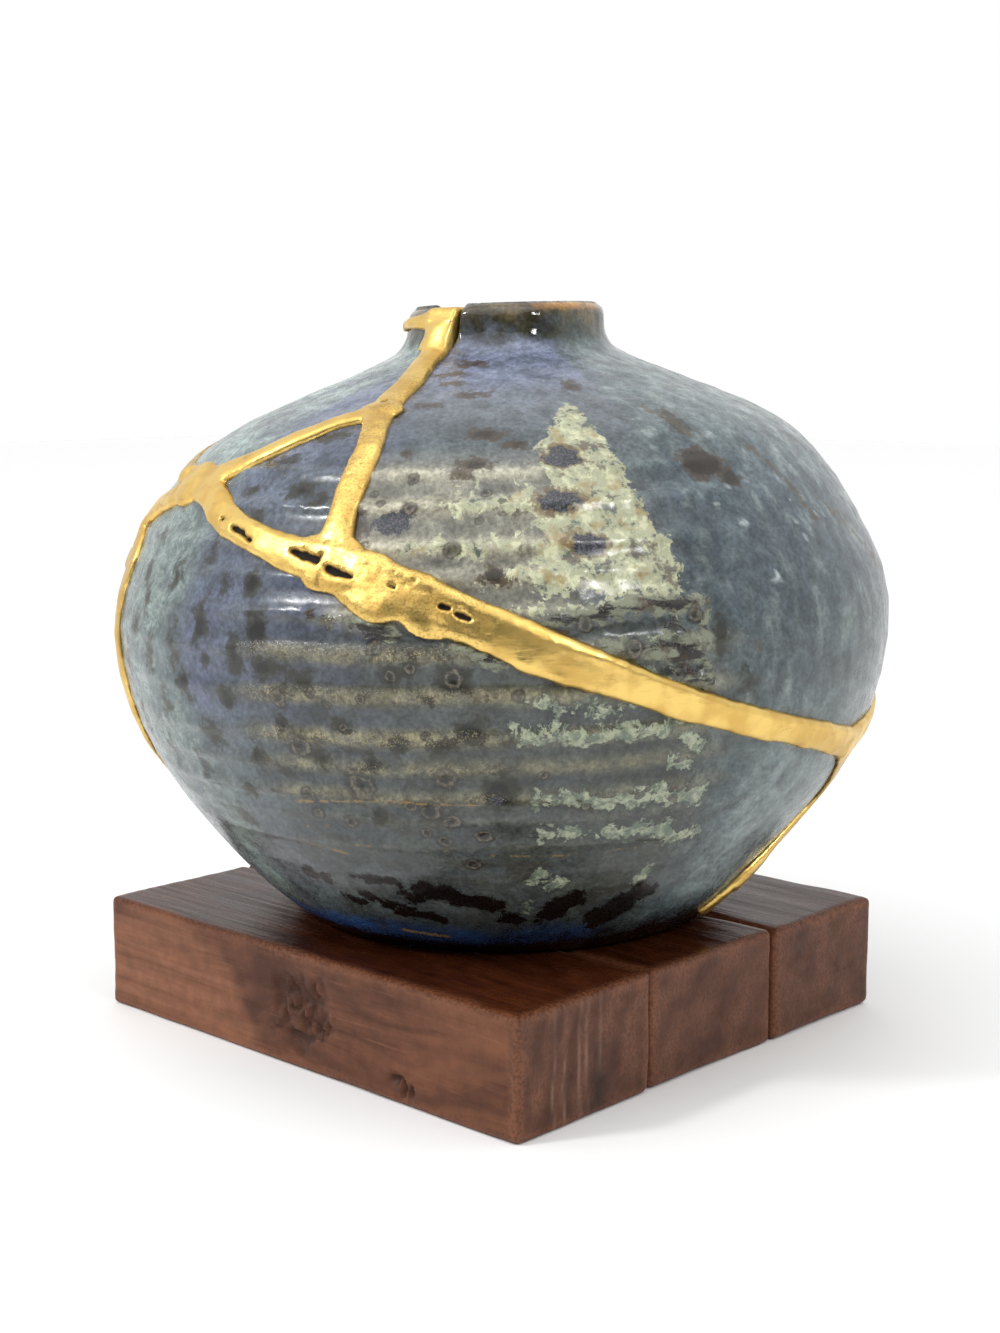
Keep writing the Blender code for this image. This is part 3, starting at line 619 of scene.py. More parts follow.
def paint_glaze(mesh, azimuth, run, points, outer):
    """Colour zones with painted shade in them, darker towards the foot and in the ring valleys, and the
    distances to the glaze features for each vertex of a shard.
    """
    def around(low, high, soft):
        return window(azimuth, low, high, soft)

    up = np.interp(run, SKIN_RUN, SKIN[:, 1]) / MM
    ring = ring_field(azimuth, run, points)
    broad = ring_field(azimuth, run, points, 2.3)
    big = cloud(points, 24, 11)
    small = cloud(points, 8, 12)
    fine = cloud(points, 2.6, 13)
    streak = cloud(points * (1, 1, 0.22), 2.4, 14)
    level = cloud(points * (0.3, 0.3, 1), 2.2, 15)
    flecks = smoothstep(0.62, 0.95, noise(points * (1, 1, 0.4), 1.5, 16))

    # The zones, from 0 to 1
    front = around(-74, -24, 12)
    left = around(-230, -98, 9)
    right = around(-19, 130, 5)
    valley = np.clip(1.0 - ring, 0, 1)
    lavender = around(-92, -66, 7) * between(up, 42, 64, 116, 126)
    side = around(-96, -78, 5) * between(up, 34, 44, 84, 90)
    under_neck = around(-72, -28, 14) * smoothstep(104, 114, up)
    collar = around(-78, -20, 12) * smoothstep(114, 120, up + 2 * small)
    low_right = around(-6, 60, 10) * fall(38, 60, up + 4 * small)
    flecked = around(-14, 8, 6) * between(up, 72, 78, 94, 100)
    low = front * fall(66, 76, up)
    dip = 1 - 0.35 * valley * around(-90, -56, 8)
    high = around(-66, -40, 7) * smoothstep(70, 80, up + 3 * small) * fall(99, 107, up)
    foot = fall(5, 16, up + 3 * small)
    pool = fall(5, 10, up + 2.5 * small) * (around(-104, -56, 8) + 0.5 * around(-50, -30, 6))
    neck = smoothstep(124.6, 127.4, up + 0.8 * fine) * outer
    layers = [
        (TEAL, 0.5 + 0.6 * small),
        (PALE_GREEN, left * (0.6 + 0.9 * small + 0.5 * fine)),
        (SEA_GREY, left * np.clip(-0.6 * fine - 0.4 * small, 0, 0.6)),
        (LAVENDER, lavender * (0.8 + 0.6 * big)),
        (DULL_OLIVE, side * np.clip(1.2 * broad - 0.45, 0, 1) * (0.4 + 0.6 * fine)),
        (COOL_GREY, under_neck * (0.7 + 0.5 * small)),
        (LILAC, collar * 0.8),
        (SLATE, right * (0.8 + 0.4 * small)),
        (DEEP_SLATE, right * between(up, 58, 78, 96, 112) * 0.7),
        (MILK_TEAL, low_right * 0.6),
        (PALE_TEAL, right * np.clip(0.9 * streak - 0.12, 0, 0.6)),
        (DARK_TEAL, right * np.clip(-0.8 * streak - 0.1, 0, 0.6)),
        (FLECK, flecks * flecked),
        (GREEN_GREY, low * (0.62 + 0.4 * small) * dip),
        (TAN_GREY, low * np.clip(1.6 * broad - 0.45, 0, 1) * (0.75 + 0.5 * fine)),
        (STONE, high * (0.9 + 0.5 * small)),
        (CREAM_TAN, high * np.clip(1.3 * broad - 0.25, 0, 1) * (0.8 + 0.5 * level)),
        (UMBER, front * np.clip(1.1 * level - 0.25, 0, 0.6) * fall(96, 108, up)),
        (FOOT_GREY, foot * 0.85),
        (INK, fall(3.0, 8.0, up + 2.5 * small + 2.0 * fine) * 0.95),
        (COBALT, pool * smoothstep(1.5, 4.0, up + 0.8 * fine) * 0.9),
        (NECK_OLIVE, neck * (0.9 + 0.4 * fine)),
        (NECK_BROWN, smoothstep(127, 133, up + 2.6 * fine) * (0.35 + 0.8 * small) * outer),
        (RIM_OCHRE, smoothstep(131.8, 133.2, up) * around(-25, 20, 12)),
        (INNER, (1 - outer) * 0.9),
    ]
    tint_and_shade = np.tile(BLUE_GREY, (len(run), 1))
    for colour, share in layers:
        tint_and_shade = mix(tint_and_shade, colour, share)
    # Painted shade: darker towards the foot and in the ring valleys on the front, times a random tone
    # from the big cloud; the inside is multiplied by 0.8
    painted_shade_and_tone = np.interp(up, [0, 12, 40, 66, 84, 104, 134], [0.36, 0.50, 0.54, 0.53, 0.62, 0.80, 0.90])
    painted_shade_and_tone = painted_shade_and_tone * (1 - 0.30 * valley * front * outer) * (1 + 0.16 * big)
    tint_and_shade = tint_and_shade * np.where(outer > 0, painted_shade_and_tone, 0.8)[:, None]
    paint(mesh, "tint_and_shade", np.clip(tint_and_shade, 0.0, 1.0))

    folds = 3.2 * np.clip(broad, 0, 1) + 0.06 * turn_from(azimuth, -45) + 3.6 + 1.2 * big
    folds = around(-60, -30, 6) * between(up, 72, 76, 98, 104) * folds - 6.0
    patch = np.maximum(inside_outline(azimuth, run, PATCH), np.minimum(folds, 0.9))
    paint(mesh, "patch", np.clip(patch, -6, 6))
    crest = around(-81, -48, 6) * between(up, 24, 34, 70, 76)
    paint(mesh, "crystal", np.clip(broad, 0, 1) * crest * outer)
    for name, spots in {"smear": SMEARS, "brown": BROWNS, "slate": SLATES}.items():
        paint(mesh, name, spots_field(azimuth, run, spots))
    paint(mesh, "crater", crater_field(azimuth, run, CRATERS))
    lines = {"dash": DASHES, "drip": RUNS, "ink": INKS, "hairline": HAIRLINES, "streak": STREAKS}
    for name, strokes in lines.items():
        paint(mesh, name, strokes_field(azimuth, run, strokes))
    paint(mesh, "veined", left * smoothstep(24, 40, up))
    paint(mesh, "wet", smoothstep(120, 125, up) * outer)


# Shader helpers

class Nodes:
    """Short calls that add and link a material's nodes, and its colour, laid on in layers."""

    def __init__(self, name):
        self.material = bpy.data.materials.new(name)
        self.material.use_nodes = True
        self.tree = self.material.node_tree
        self.shader = self.tree.nodes["Principled BSDF"]
        self.colour = (1.0, 1.0, 1.0)

    def add(self, kind, **settings):
        node = self.tree.nodes.new(kind)
        for key, value in settings.items():
            setattr(node, key, value)
        return node

    def set(self, socket, value):
        if isinstance(value, bpy.types.NodeSocket):
            self.tree.links.new(value, socket)
        elif hasattr(socket, "default_value"):
            if hasattr(socket.default_value, "__len__") and not hasattr(value, "__len__"):
                value = (value,) * len(socket.default_value)
            if hasattr(value, "__len__") and len(value) == 3 and len(socket.default_value) == 4:
                value = (*value, 1.0)
            socket.default_value = value

    def attribute(self, name, colour=False):
        node = self.add("ShaderNodeAttribute", attribute_name=name)
        return node.outputs["Color" if colour else "Fac"]

    def math(self, operation, a, b=0.0, clamp=False):
        node = self.add("ShaderNodeMath", operation=operation, use_clamp=clamp)
        self.set(node.inputs[0], a)
        self.set(node.inputs[1], b)
        return node.outputs[0]

    def times(self, a, b):
        return self.math("MULTIPLY", a, b)

    def plus(self, a, b, clamp=False):
        return self.math("ADD", a, b, clamp)

    def step(self, value, low, high, out_low=0.0, out_high=1.0):
        node = self.add("ShaderNodeMapRange", interpolation_type="SMOOTHSTEP")
        for socket, number in zip(node.inputs, (value, low, high, out_low, out_high)):
            self.set(socket, number)
        return node.outputs[0]

    def coords(self, scale=(1.0, 1.0, 1.0), turn=(0.0, 0.0, 0.0)):
        """Object coordinates in mm, scaled."""
        source = self.add("ShaderNodeTexCoord").outputs["Object"]
        node = self.add("ShaderNodeMapping")
        self.set(node.inputs["Vector"], source)
        self.set(node.inputs["Scale"], tuple(1000.0 * s for s in scale))
        self.set(node.inputs["Rotation"], tuple(math.radians(a) for a in turn))
        return node.outputs[0]

    def noise(self, where, size, detail=3.0, rough=0.55, bend=0.0):
        node = self.add("ShaderNodeTexNoise")
        self.set(node.inputs["Vector"], where)
        self.set(node.inputs["Scale"], 1.0 / size)
        self.set(node.inputs["Detail"], detail)
        self.set(node.inputs["Roughness"], rough)
        self.set(node.inputs["Distortion"], bend)
        return node.outputs["Fac"]

    def mix(self, a, b, share, blend="MIX"):
        node = self.add("ShaderNodeMix", data_type="RGBA", blend_type=blend)
        self.set(node.inputs[0], share)
        self.set(node.inputs[6], a)
        self.set(node.inputs[7], b)
        return node.outputs[2]

    def over(self, other, share, strength=None):
        """Lay another colour over the material's."""
        if strength is not None:
            share = self.times(share, strength)
        self.colour = self.mix(self.colour, other, share)

    def shade(self, value):
        """Multiply the material's colour by a number."""
        node = self.add("ShaderNodeCombineColor")
        for socket in list(node.inputs)[:3]:
            self.set(socket, value)
        self.colour = self.mix(self.colour, node.outputs[0], 1.0, "MULTIPLY")

    def ragged(self, signed, rough, by, soft=0.35):
        """1 inside a signed distance whose edge is torn by a noise, by mm to either side."""
        edge = self.plus(signed, self.step(rough, 0.28, 0.72, -by, by))
        return self.step(edge, 0.0, soft)

    def bump(self, height, distance, strength=1.0, under=None):
        node = self.add("ShaderNodeBump")
        self.set(node.inputs["Height"], height)
        self.set(node.inputs["Distance"], distance * MM)
        self.set(node.inputs["Strength"], strength)
        if under is not None:
            self.set(node.inputs["Normal"], under)
        return node.outputs[0]

    def finish(self, roughness, normal=None, **plain):
        self.set(self.shader.inputs["Base Color"], self.colour)
        self.set(self.shader.inputs["Roughness"], roughness)
        if normal is not None:
            self.set(self.shader.inputs["Normal"], normal)
        for key, value in plain.items():
            self.set(self.shader.inputs[key.replace("_", " ")], value)
        return self.material


def glaze_material():
    n = Nodes("mottled_glaze")
    where = n.coords()
    fine = n.noise(where, 0.9, 4, 0.6)
    speck = n.noise(where, 0.42, 2, 0.7)
    mottled = n.noise(where, 2.4, 5, 0.68)
    blotch = n.noise(where, 5.5, 5, 0.7, 0.6)
    lichen = n.noise(where, 2.6, 6, 0.74, 0.6)
    ochre = n.noise(where, 5.0, 4, 0.65)
    fluff = n.noise(where, 3.4, 7, 0.70, 0.25)
    folded = n.noise(n.coords((0.5, 0.5, 1.5)), 3.0, 5, 0.6, 0.3)
    # The painted colour, with painted shade in it: darker towards the foot and in the ring valleys
    n.colour = n.attribute("tint_and_shade", colour=True)
    n.shade(n.step(blotch, 0.28, 0.72, 0.62, 1.40))
    n.shade(n.step(fine, 0.3, 0.7, 0.72, 1.28))

    vein = n.math("ABSOLUTE", n.math("SUBTRACT", n.noise(where, 4.6, 5, 0.62, 0.8), 0.5))
    vein = n.times(n.step(vein, 0.0, 0.055, 1.0, 0.0), n.attribute("veined"))
    n.over(srgb(58, 74, 80), vein, 0.6)

    # Blotches and streaks: field, how much wider in mm, noise and its reach, softness, colour, strength
    blotches = (
        ("smear", 1.5, mottled, 1.6, 2.2, (40, 40, 28), 0.88),
        ("smear", -0.2, blotch, 1.0, 1.2, (14, 16, 14), 0.8),
        ("brown", 0.5, mottled, 1.3, 1.2, (64, 50, 34), 0.8),
        ("brown", -0.6, lichen, 0.8, 0.9, (30, 24, 19), 0.75),
        ("streak", 0.3, mottled, 1.1, 1.0, (76, 64, 42), 0.75),
    )
    for name, wider, rough, by, soft, colour, strength in blotches:
        torn = n.ragged(n.plus(n.attribute(name), wider), rough, by, soft)
        n.over(srgb(*colour), torn, strength)

    crystal = n.attribute("crystal")
    grime = n.times(n.step(mottled, 0.48, 0.62), n.step(crystal, 0.35, 0.85))
    n.over(srgb(50, 44, 32), grime, 0.7)
    dots = n.times(n.step(speck, 0.53, 0.62), n.step(crystal, 0.5, 0.95))
    dots = n.times(dots, n.step(blotch, 0.42, 0.6, 0.15, 1.0))
    n.over(srgb(178, 162, 122), dots, 0.75)

    patch = n.plus(n.attribute("patch"), n.step(blotch, 0.25, 0.75, -2.6, 2.6))
    patch = n.plus(patch, n.step(lichen, 0.3, 0.7, -1.6, 1.6))
    cream = n.mix(srgb(88, 96, 88), srgb(166, 168, 140), n.step(fluff, 0.36, 0.47))
    cream = n.mix(cream, srgb(200, 202, 168), n.step(fluff, 0.50, 0.60))
    cream = n.mix(cream, srgb(150, 124, 76), n.step(ochre, 0.53, 0.64, 0.0, 0.6))
    cream = n.mix(cream, srgb(94, 86, 78), n.step(ochre, 0.44, 0.36, 0.0, 0.8))
    n.over(cream, n.step(patch, 0.0, 0.5))

    dash = n.plus(n.attribute("dash"), n.step(fluff, 0.30, 0.70, -2.4, 2.4))
    n.over(srgb(44, 52, 50), n.step(dash, -1.1, 0.0), 0.5)
    seafoam = n.mix(srgb(100, 112, 98), srgb(164, 170, 144), n.step(lichen, 0.42, 0.60))
    n.over(seafoam, n.step(dash, 0.0, 0.8), 0.92)

    slate = n.attribute("slate")
    halo = n.ragged(n.plus(slate, 0.9), mottled, 1.1, 0.8)
    halo = n.times(halo, n.step(n.attribute("patch"), -2.0, 1.0))
    n.over(srgb(104, 82, 50), halo, 0.75)
    core = n.mix(srgb(44, 50, 52), srgb(88, 84, 94), n.step(speck, 0.46, 0.6))
    n.over(core, n.ragged(slate, mottled, 0.8, 0.5))

    drip = n.ragged(n.plus(n.attribute("drip"), 0.3), fluff, 1.8, 1.0)
    pitch = n.mix(srgb(26, 20, 14), srgb(122, 126, 106), n.step(folded, 0.42, 0.56))
    pitch = n.mix(pitch, srgb(62, 40, 24), n.step(ochre, 0.54, 0.64, 0.0, 0.7))
    n.over(pitch, drip)

    crater = n.plus(n.attribute("crater"), n.step(mottled, 0.3, 0.7, -0.28, 0.28))
    ring = n.times(n.step(crater, 0.50, 0.80), n.step(crater, 0.92, 1.2, 1.0, 0.0))
    n.over(srgb(36, 34, 29), n.step(crater, 1.1, 1.7, 1.0, 0.0), 0.75)
    n.over(srgb(126, 118, 104), ring, n.step(fine, 0.35, 0.65, 0.1, 0.7))
    n.over(srgb(14, 11, 9), n.step(n.attribute("crater"), 0.12, 0.30, 0.9, 0.0))

    hairline = n.plus(n.attribute("hairline"), n.step(mottled, 0.3, 0.7, -0.3, 0.2))
    n.over(srgb(150, 120, 70), n.step(hairline, -0.08, 0.2), 0.8)
    ink = n.plus(n.plus(n.attribute("ink"), 0.5), n.step(fluff, 0.3, 0.7, -1.4, 1.4))
    n.over(srgb(26, 30, 30), n.step(ink, -0.7, 0.1), 0.5)
    n.over(srgb(6, 6, 6), n.step(ink, 0.0, 0.35), 0.96)

    rough = n.step(mottled, 0.3, 0.7, 0.16, 0.34)
    wet = n.math("MAXIMUM", drip, n.attribute("wet"))
    rough = n.math("SUBTRACT", rough, n.times(wet, 0.18), clamp=True)
    normal = n.bump(fine, 0.04, 0.5)
    sparkle = n.bump(speck, 0.22, 1.0, normal)
    blend = n.add("ShaderNodeMix", data_type="VECTOR")
    n.set(blend.inputs[0], n.step(n.math("MAXIMUM", crystal, drip), 0.35, 0.8))
    n.set(blend.inputs[4], normal)
    n.set(blend.inputs[5], sparkle)
    return n.finish(rough, blend.outputs[1], IOR=1.5)


# Gold

def stations(seam, spacing):
    """Evenly spaced azimuth, share and width along a seam, with the run from its start."""
    line = smooth_line(seam, 10)
    spots = wall_points(line[:, 0], line[:, 1])
    run = np.concatenate([[0.0], np.cumsum(np.linalg.norm(np.diff(spots, axis=0), axis=1))])
    marks = np.linspace(0.0, run[-1], max(int(run[-1] / spacing), 2) + 1)
    return np.column_stack([np.interp(marks, run, line[:, k]) for k in range(3)]), marks


def wave(marks, length, seed):
    """Smooth noise along a run, with waves of about that length in mm."""
    line = np.column_stack([marks, np.full(len(marks), seed * 0.37), np.zeros(len(marks))])
    return noise(line, length, seed)


def bead(name, seam, proud, seed, ridged):
    """A raised seam, proud mm high, with a wandering edge. A ridged one has a ridge and lumps too."""
    spots, marks = stations(seam, 0.6 * MM)

    def wander(length, turn):
        return wave(marks, length, seed + turn)

    centre = wall_points(spots[:, 0], spots[:, 1])
    normal = wall_points(spots[:, 0], spots[:, 1], MM) - centre
    normal /= np.linalg.norm(normal, axis=1)[:, None]
    side = np.cross(normal, np.gradient(centre, axis=0))
    side /= np.linalg.norm(side, axis=1)[:, None]
    half = spots[:, 2] * MM / 2
    upper = half * (1.11 + 0.10 * wander(8, 0) + 0.05 * wander(2.6, 1))
    lower = half * (1.13 + 0.13 * wander(6, 2) + 0.07 * wander(2.2, 3))
    tall = proud * (1.0 + 0.10 * wander(11, 4))
    verts = []
    for share in np.linspace(-1.0, 1.0, 21):
        reach = np.where(share > 0, upper, lower) * share
        dome = (1.0 - abs(share) ** 6.0) ** 0.6
        lift = tall * dome * (0.94 + 0.06 * wander(5, 8))
        if ridged:
            crest = 0.34 * bell(share - 0.50 - 0.16 * wander(14, 5), 0.20)
            lumps = 0.30 * bell(share + 0.62 - 0.1 * wander(6, 9), 0.15) * (0.4 + wander(3.4, 6))
            hollow = -0.30 * bell(share + 0.08 - 0.2 * wander(19, 3), 0.26) * (0.7 + 0.6 * wander(17, 7))
            lift = lift + dome * (crest + lumps + hollow)
        lift = lift - 0.55 * (abs(share) > 0.999)
        verts.append(centre + side * reach[:, None] + normal * (lift * MM)[:, None])
    for share in (0.9, -0.9):
        reach = np.where(share > 0, upper, lower) * share
        verts.append(centre + side * reach[:, None] - normal * 0.9 * MM)
    rows = len(verts)
    count = len(marks)
    grid = np.stack(verts, axis=1).reshape(-1, 3)
    faces = []
    for i in range(count - 1):
        for k in range(rows):
            j = (k + 1) % rows
            faces.append((i * rows + k, i * rows + j, (i + 1) * rows + j, (i + 1) * rows + k))
    faces.append(tuple(range(rows)))
    faces.append(tuple((count - 1) * rows + k for k in reversed(range(rows))))
    return mesh_object(name, grid, faces)


def lump(name, azimuth, share, wide, tall, high, turn):
    """A low blob on the wall: half sizes in mm."""
    point = wall_points([azimuth], [share])[0]
    normal = wall_points([azimuth], [share], MM)[0] - point
    normal /= np.linalg.norm(normal)
    east = wall_points([azimuth + 0.5], [share])[0] - point
    east /= np.linalg.norm(east)
    north = np.cross(normal, east)
    angle = math.radians(turn)
    run = east * math.cos(angle) + north * math.sin(angle)
    side = np.cross(normal, run)
    bm = bmesh.new()
    bmesh.ops.create_icosphere(bm, subdivisions=4, radius=1.0)
    verts = np.array([v.co[:] for v in bm.verts])
    faces = [tuple(v.index for v in f.verts) for f in bm.faces]
    bm.free()
    shape = np.outer(verts[:, 0] * wide, run) + np.outer(verts[:, 1] * tall, side)
    shape += np.outer(verts[:, 2] * high, normal)
    ripple = 1 + 0.16 * noise(shape * MM + point, min(wide, tall) * 0.7, 77)
    return mesh_object(name, point + shape * MM * ripple[:, None], faces)


def join(objects, name):
    """One object from several, without their materials."""
    verts = []
    faces = []
    for obj in objects:
        start = len(verts)
        verts += [v.co[:] for v in obj.data.vertices]
        faces += [tuple(start + i for i in p.vertices) for p in obj.data.polygons]
        drop(obj)
    return mesh_object(name, verts, faces)


# The open pits in the gold, as strokes on the wall
GOLD_PITS = [
    (-92.0, 91.8, -91.6, 91.7, 0.25), (-88.6, 90.3, -86.2, 89.4, 0.35), (-86.0, 89.3, -84.0, 88.1, 0.3),
    (-76.2, 86.5, -74.5, 86.0, 0.5), (-74.3, 85.9, -71.8, 84.9, 0.65), (-71.6, 85.0, -71.2, 86.2, 0.25),
    (-70.0, 83.6, -68.5, 82.8, 0.5), (-68.3, 82.7, -66.4, 82.0, 0.4), (-54.4, 77.0, -53.2, 76.5, 0.3),
    (-52.3, 75.6, -50.8, 74.7, 0.42), (-75.5, 113.3, -75.3, 112.9, 0.2), (-61.0, 80.5, -60.4, 80.2, 0.2),
]


# The roll of gold over the rim beside the chip, as a seam
RIM_ROLL = [
    (-82.0, 0.970, 5.0), (-96.0, 0.978, 4.6), (-112.0, 0.980, 3.8), (-126.0, 0.976, 3.0),
    (-134.0, 0.968, 2.4),
]

# Blobs over the junctions: azimuth, height share, three half sizes in mm, turn in degrees
LUMPS = {
    "left_blob": (*LEFT_NODE[:2], 6.4, 5.4, 1.9, 20),
    "left_tip": (-114.5, 0.742, 3.8, 2.4, 2.3, 20),
    "neck_blob": (*NECK_NODE[:2], 5.2, 4.4, 1.5, -30),
    "front_blob": (*FRONT_NODE[:2], 8.4, 6.2, 1.6, -20),
    "front_wide": (-63.5, 0.603, 9.0, 6.3, 1.6, -26),
    "front_foot": (-56.5, 0.572, 7.0, 5.4, 1.5, -24),
    "right_blob": (20.5, 0.290, 7.5, 4.6, 0.8, 8),
}

# The gold's remesh: voxel in mm, and the most triangles that it keeps
GOLD_VOXEL = 0.46
GOLD_TRIANGLES = 190000


def make_gold():
    parts = []
    for seed, (name, seam) in enumerate(SEAMS.items()):
        parts.append(bead("seam_" + name, seam, PROUD[name], 40 + 10 * seed, name == "band"))
    for name, sizes in LUMPS.items():
        parts.append(lump(name, *sizes))
    parts.append(bead("rim_roll", RIM_ROLL, 0.8, 33, False))
    parts.append(place("fill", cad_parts["gold_seams"].data.copy()))
    gold = join(parts, "gold_repair")
    voxel_remesh(gold, GOLD_VOXEL)
    melt = gold.modifiers.new("Melt", "SMOOTH")
    melt.factor = 0.5
    melt.iterations = 9
    apply_all(gold)
    points = read_points(gold.data)
    normals = read_normals(gold.data)
    azimuth, radius, height = to_vase(points)
    run, _, _, lift = on_skin(radius, height)
    up = height / MM
    outside = (lift > 0.2 * MM) & (run < LIP_RUN)
    pit = strokes_field(azimuth, run, GOLD_PITS) + 0.3 * noise(points, 1.2, 95)
    pit = np.where(outside, pit, FAR)

    # Low where only an edge of the seam shows past the outline, and painted tan there: a painted
    # reflection of the white surroundings on the gold seen edge-on
    flat = window(azimuth, 19, 40, 6) * fall(34, 39, up)
    flat = np.maximum(flat, window(azimuth, -200, -119, 5) * smoothstep(96, 99, up))
    flat = np.maximum(flat, 0.6 * window(azimuth, -150, -117, 5) * fall(80, 92, up))
    flat = flat * outside * fall(124, 128, up)
    crumbs = window(azimuth, -74, -50, 4) * smoothstep(69, 71, up) * outside
    grit = 0.10 * cloud(points, 2.6, 93) - 0.16 * smoothstep(0.45, 0.9, cloud(points, 1.6, 94))
    shift = 0.05 * cloud(points, 2.2, 91) + 0.04 * noise(points, 0.9, 92) + crumbs * grit
    shift = shift - 1.05 * smoothstep(-0.25, 0.3, pit) - 0.6 * flat * np.clip(lift / MM, 0, 1.6)
    points = points + normals * (shift * MM)[:, None]
    dip = 1.5 * smoothstep(129.0, 133.6, up) * window(azimuth, -140, -70, 10)
    points[:, 2] -= dip * MM
    write_points(gold.data, points)
    for name, values in {"pit": pit, "crumbs": crumbs, "painted_reflection": flat}.items():
        paint(gold.data, name, values)
    fewer = gold.modifiers.new("Decimate", "DECIMATE")
    fewer.ratio = min(1.0, GOLD_TRIANGLES / (2 * len(gold.data.polygons)))
    apply_all(gold)
    smooth_shade(gold.data)
    gold.data.materials.clear()
    gold.data.materials.append(gold_material())
    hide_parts("gold_seams")
    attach(gold, "root")


def gold_material():
    n = Nodes("gilded_lacquer")
    fine = n.noise(n.coords(), 0.5, 3, 0.6)
    soft = n.noise(n.coords(), 6.0, 3, 0.5)
    brushed = n.noise(n.coords((0.35, 0.35, 1.5)), 2.2, 5, 0.65, 0.5)
    pit = n.attribute("pit")
    n.colour = n.mix((0.80, 0.56, 0.17), (0.66, 0.43, 0.12), n.step(soft, 0.38, 0.66))
    n.over((0.40, 0.24, 0.07), n.step(brushed, 0.54, 0.74, 0.0, 0.55))
    n.over((0.36, 0.21, 0.06), n.attribute("crumbs"), n.step(fine, 0.5, 0.64, 0.0, 0.6))
    # Painted reflection: tan where only the seam's edge shows at the outline
    n.over((0.50, 0.33, 0.15), n.attribute("painted_reflection"), 0.7)
    n.over((0.16, 0.09, 0.03), n.step(pit, -0.5, 0.0, 0.0, 0.7))
    n.over((0.012, 0.008, 0.006), n.step(pit, -0.08, 0.12))
    rough = n.plus(n.step(soft, 0.3, 0.7, 0.30, 0.44), n.step(pit, -0.3, 0.2, 0.0, 0.5), clamp=True)
    normal = n.bump(brushed, 0.12, 0.6, n.bump(fine, 0.03, 0.6))
    return n.finish(rough, normal, Metallic=n.step(pit, 0.0, 0.2, 1.0, 0.0))


# Boards

# Each board's face size and ease in mm, turn of its growth planes in degrees, their spacing in mm
BOARDS = {
    "base_board_front": (0.7, 1.3, 8.0, 7.0),
    "base_board_middle": (1.0, 1.6, 40.0, 13.0),
    "base_board_back": (1.0, 1.8, 3.0, 15.0),
}

# The burrs on the front board's long side: centre along X and up, half sizes, in mm
BURRS = [(3.0, 13.0, 10.5, 9.0), (32.0, 3.6, 4.2, 2.6)]


def box_mesh(name, low, high, step):
    """A box of small square faces with shared corners."""
    size = high - low
    counts = np.maximum((size / (step * MM)).astype(int), 4)
    index = {}
    verts = []
    faces = []

    def corner(key):
        if key not in index:
            index[key] = len(verts)
            verts.append(low + size * (np.array(key) / counts))
        return index[key]

    for axis in range(3):
        a, b = [k for k in range(3) if k != axis]
        for end in (0, counts[axis]):
            for i in range(counts[a]):
                for j in range(counts[b]):
                    ring = []
                    for di, dj in ((0, 0), (1, 0), (1, 1), (0, 1)):
                        key = [0, 0, 0]
                        key[axis] = end
                        key[a] = i + di
                        key[b] = j + dj
                        ring.append(corner(tuple(key)))
                    if (end == 0) != (axis == 1):
                        ring.reverse()
                    faces.append(tuple(ring))
    return mesh_object(name, verts, faces)


def board(node):
    step, ease, turn, spacing = BOARDS[node]
    front = node == "base_board_front"
    low, high = (np.array(c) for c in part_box(node))
    obj = box_mesh(node + "_walnut", low, high, step)
    points = read_points(obj.data)
    sides = np.sort(np.minimum(points - low, high - points) / MM, axis=1)
    edge = fall(0.4, 3.2, sides[:, 1] + 0.9 * noise(points, 5, 61))
    round_by = ease * (1 + 0.35 * noise(points, 9, 62))[:, None] * MM
    core = np.clip(points, low + round_by, high - round_by)
    out = points - core
    length = np.maximum(np.linalg.norm(out, axis=1), 1e-9)[:, None]
    points = core + out / length * round_by
    grain = noise(points * (0.08, 1, 1), 1.1, 63) + noise(points * (0.05, 1, 1), 3.0, 64)
    points -= out / length * (0.05 * (grain + 2.0) * MM)[:, None]

    burr = np.zeros(len(points))
    lines = np.zeros(len(points))
    if front:
        for x, z, wide, tall in BURRS:
            reach = np.hypot((points[:, 0] / MM - x) / wide, (points[:, 2] / MM - z) / tall)
            burr = np.maximum(burr, fall(0.55, 1.05, reach + 0.25 * noise(points, 3, 65)))
        burr *= points[:, 1] < low[1] + 0.6 * MM
        worms = noise(points * (1, 1, 0.8) + np.array([0, 0, 0.3]) * points[:, :1], 1.9, 66)
        ridge = 1 - np.clip(np.abs(worms) * 2.4, 0, 1)
        points[:, 1] += burr * (0.1 + 1.5 * ridge) * MM
        burr = burr * (0.25 + 0.75 * ridge)
    write_points(obj.data, points)
    smooth_shade(obj.data)

    x, y, z = points.T / MM
    arc = fall(-3.0, 2.5, np.hypot(x + 45, z + 8) - 34 + 1.2 * noise(points, 5, 69))
    knot = np.exp(-((y + 36) / 2.8) ** 2 - ((z - 4) / 7.0) ** 2)
    if front:
        for place_y in (-49.5, -46.5, -42.0, -39.8, -36.0):
            band = bell(y - place_y + 0.5 * noise(points, 8, 67), 0.32)
            lines += band * (0.6 + 0.4 * noise(points, 6, 68))
    fields = {
        "lines": np.clip(lines, 0, 1) * (x > 60), "edge": edge, "burr": burr,
        "arc": arc * front * (y < -58.5), "knot": knot * front * (x > 60),
        "top": smoothstep(24.0, 25.2, z), "end": smoothstep(61.0, 62.6, np.abs(x)),
    }
    for name, values in fields.items():
        paint(obj.data, name, values)
    obj.data.materials.append(walnut(node, turn, spacing))
    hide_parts(node)
    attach(obj, "root")


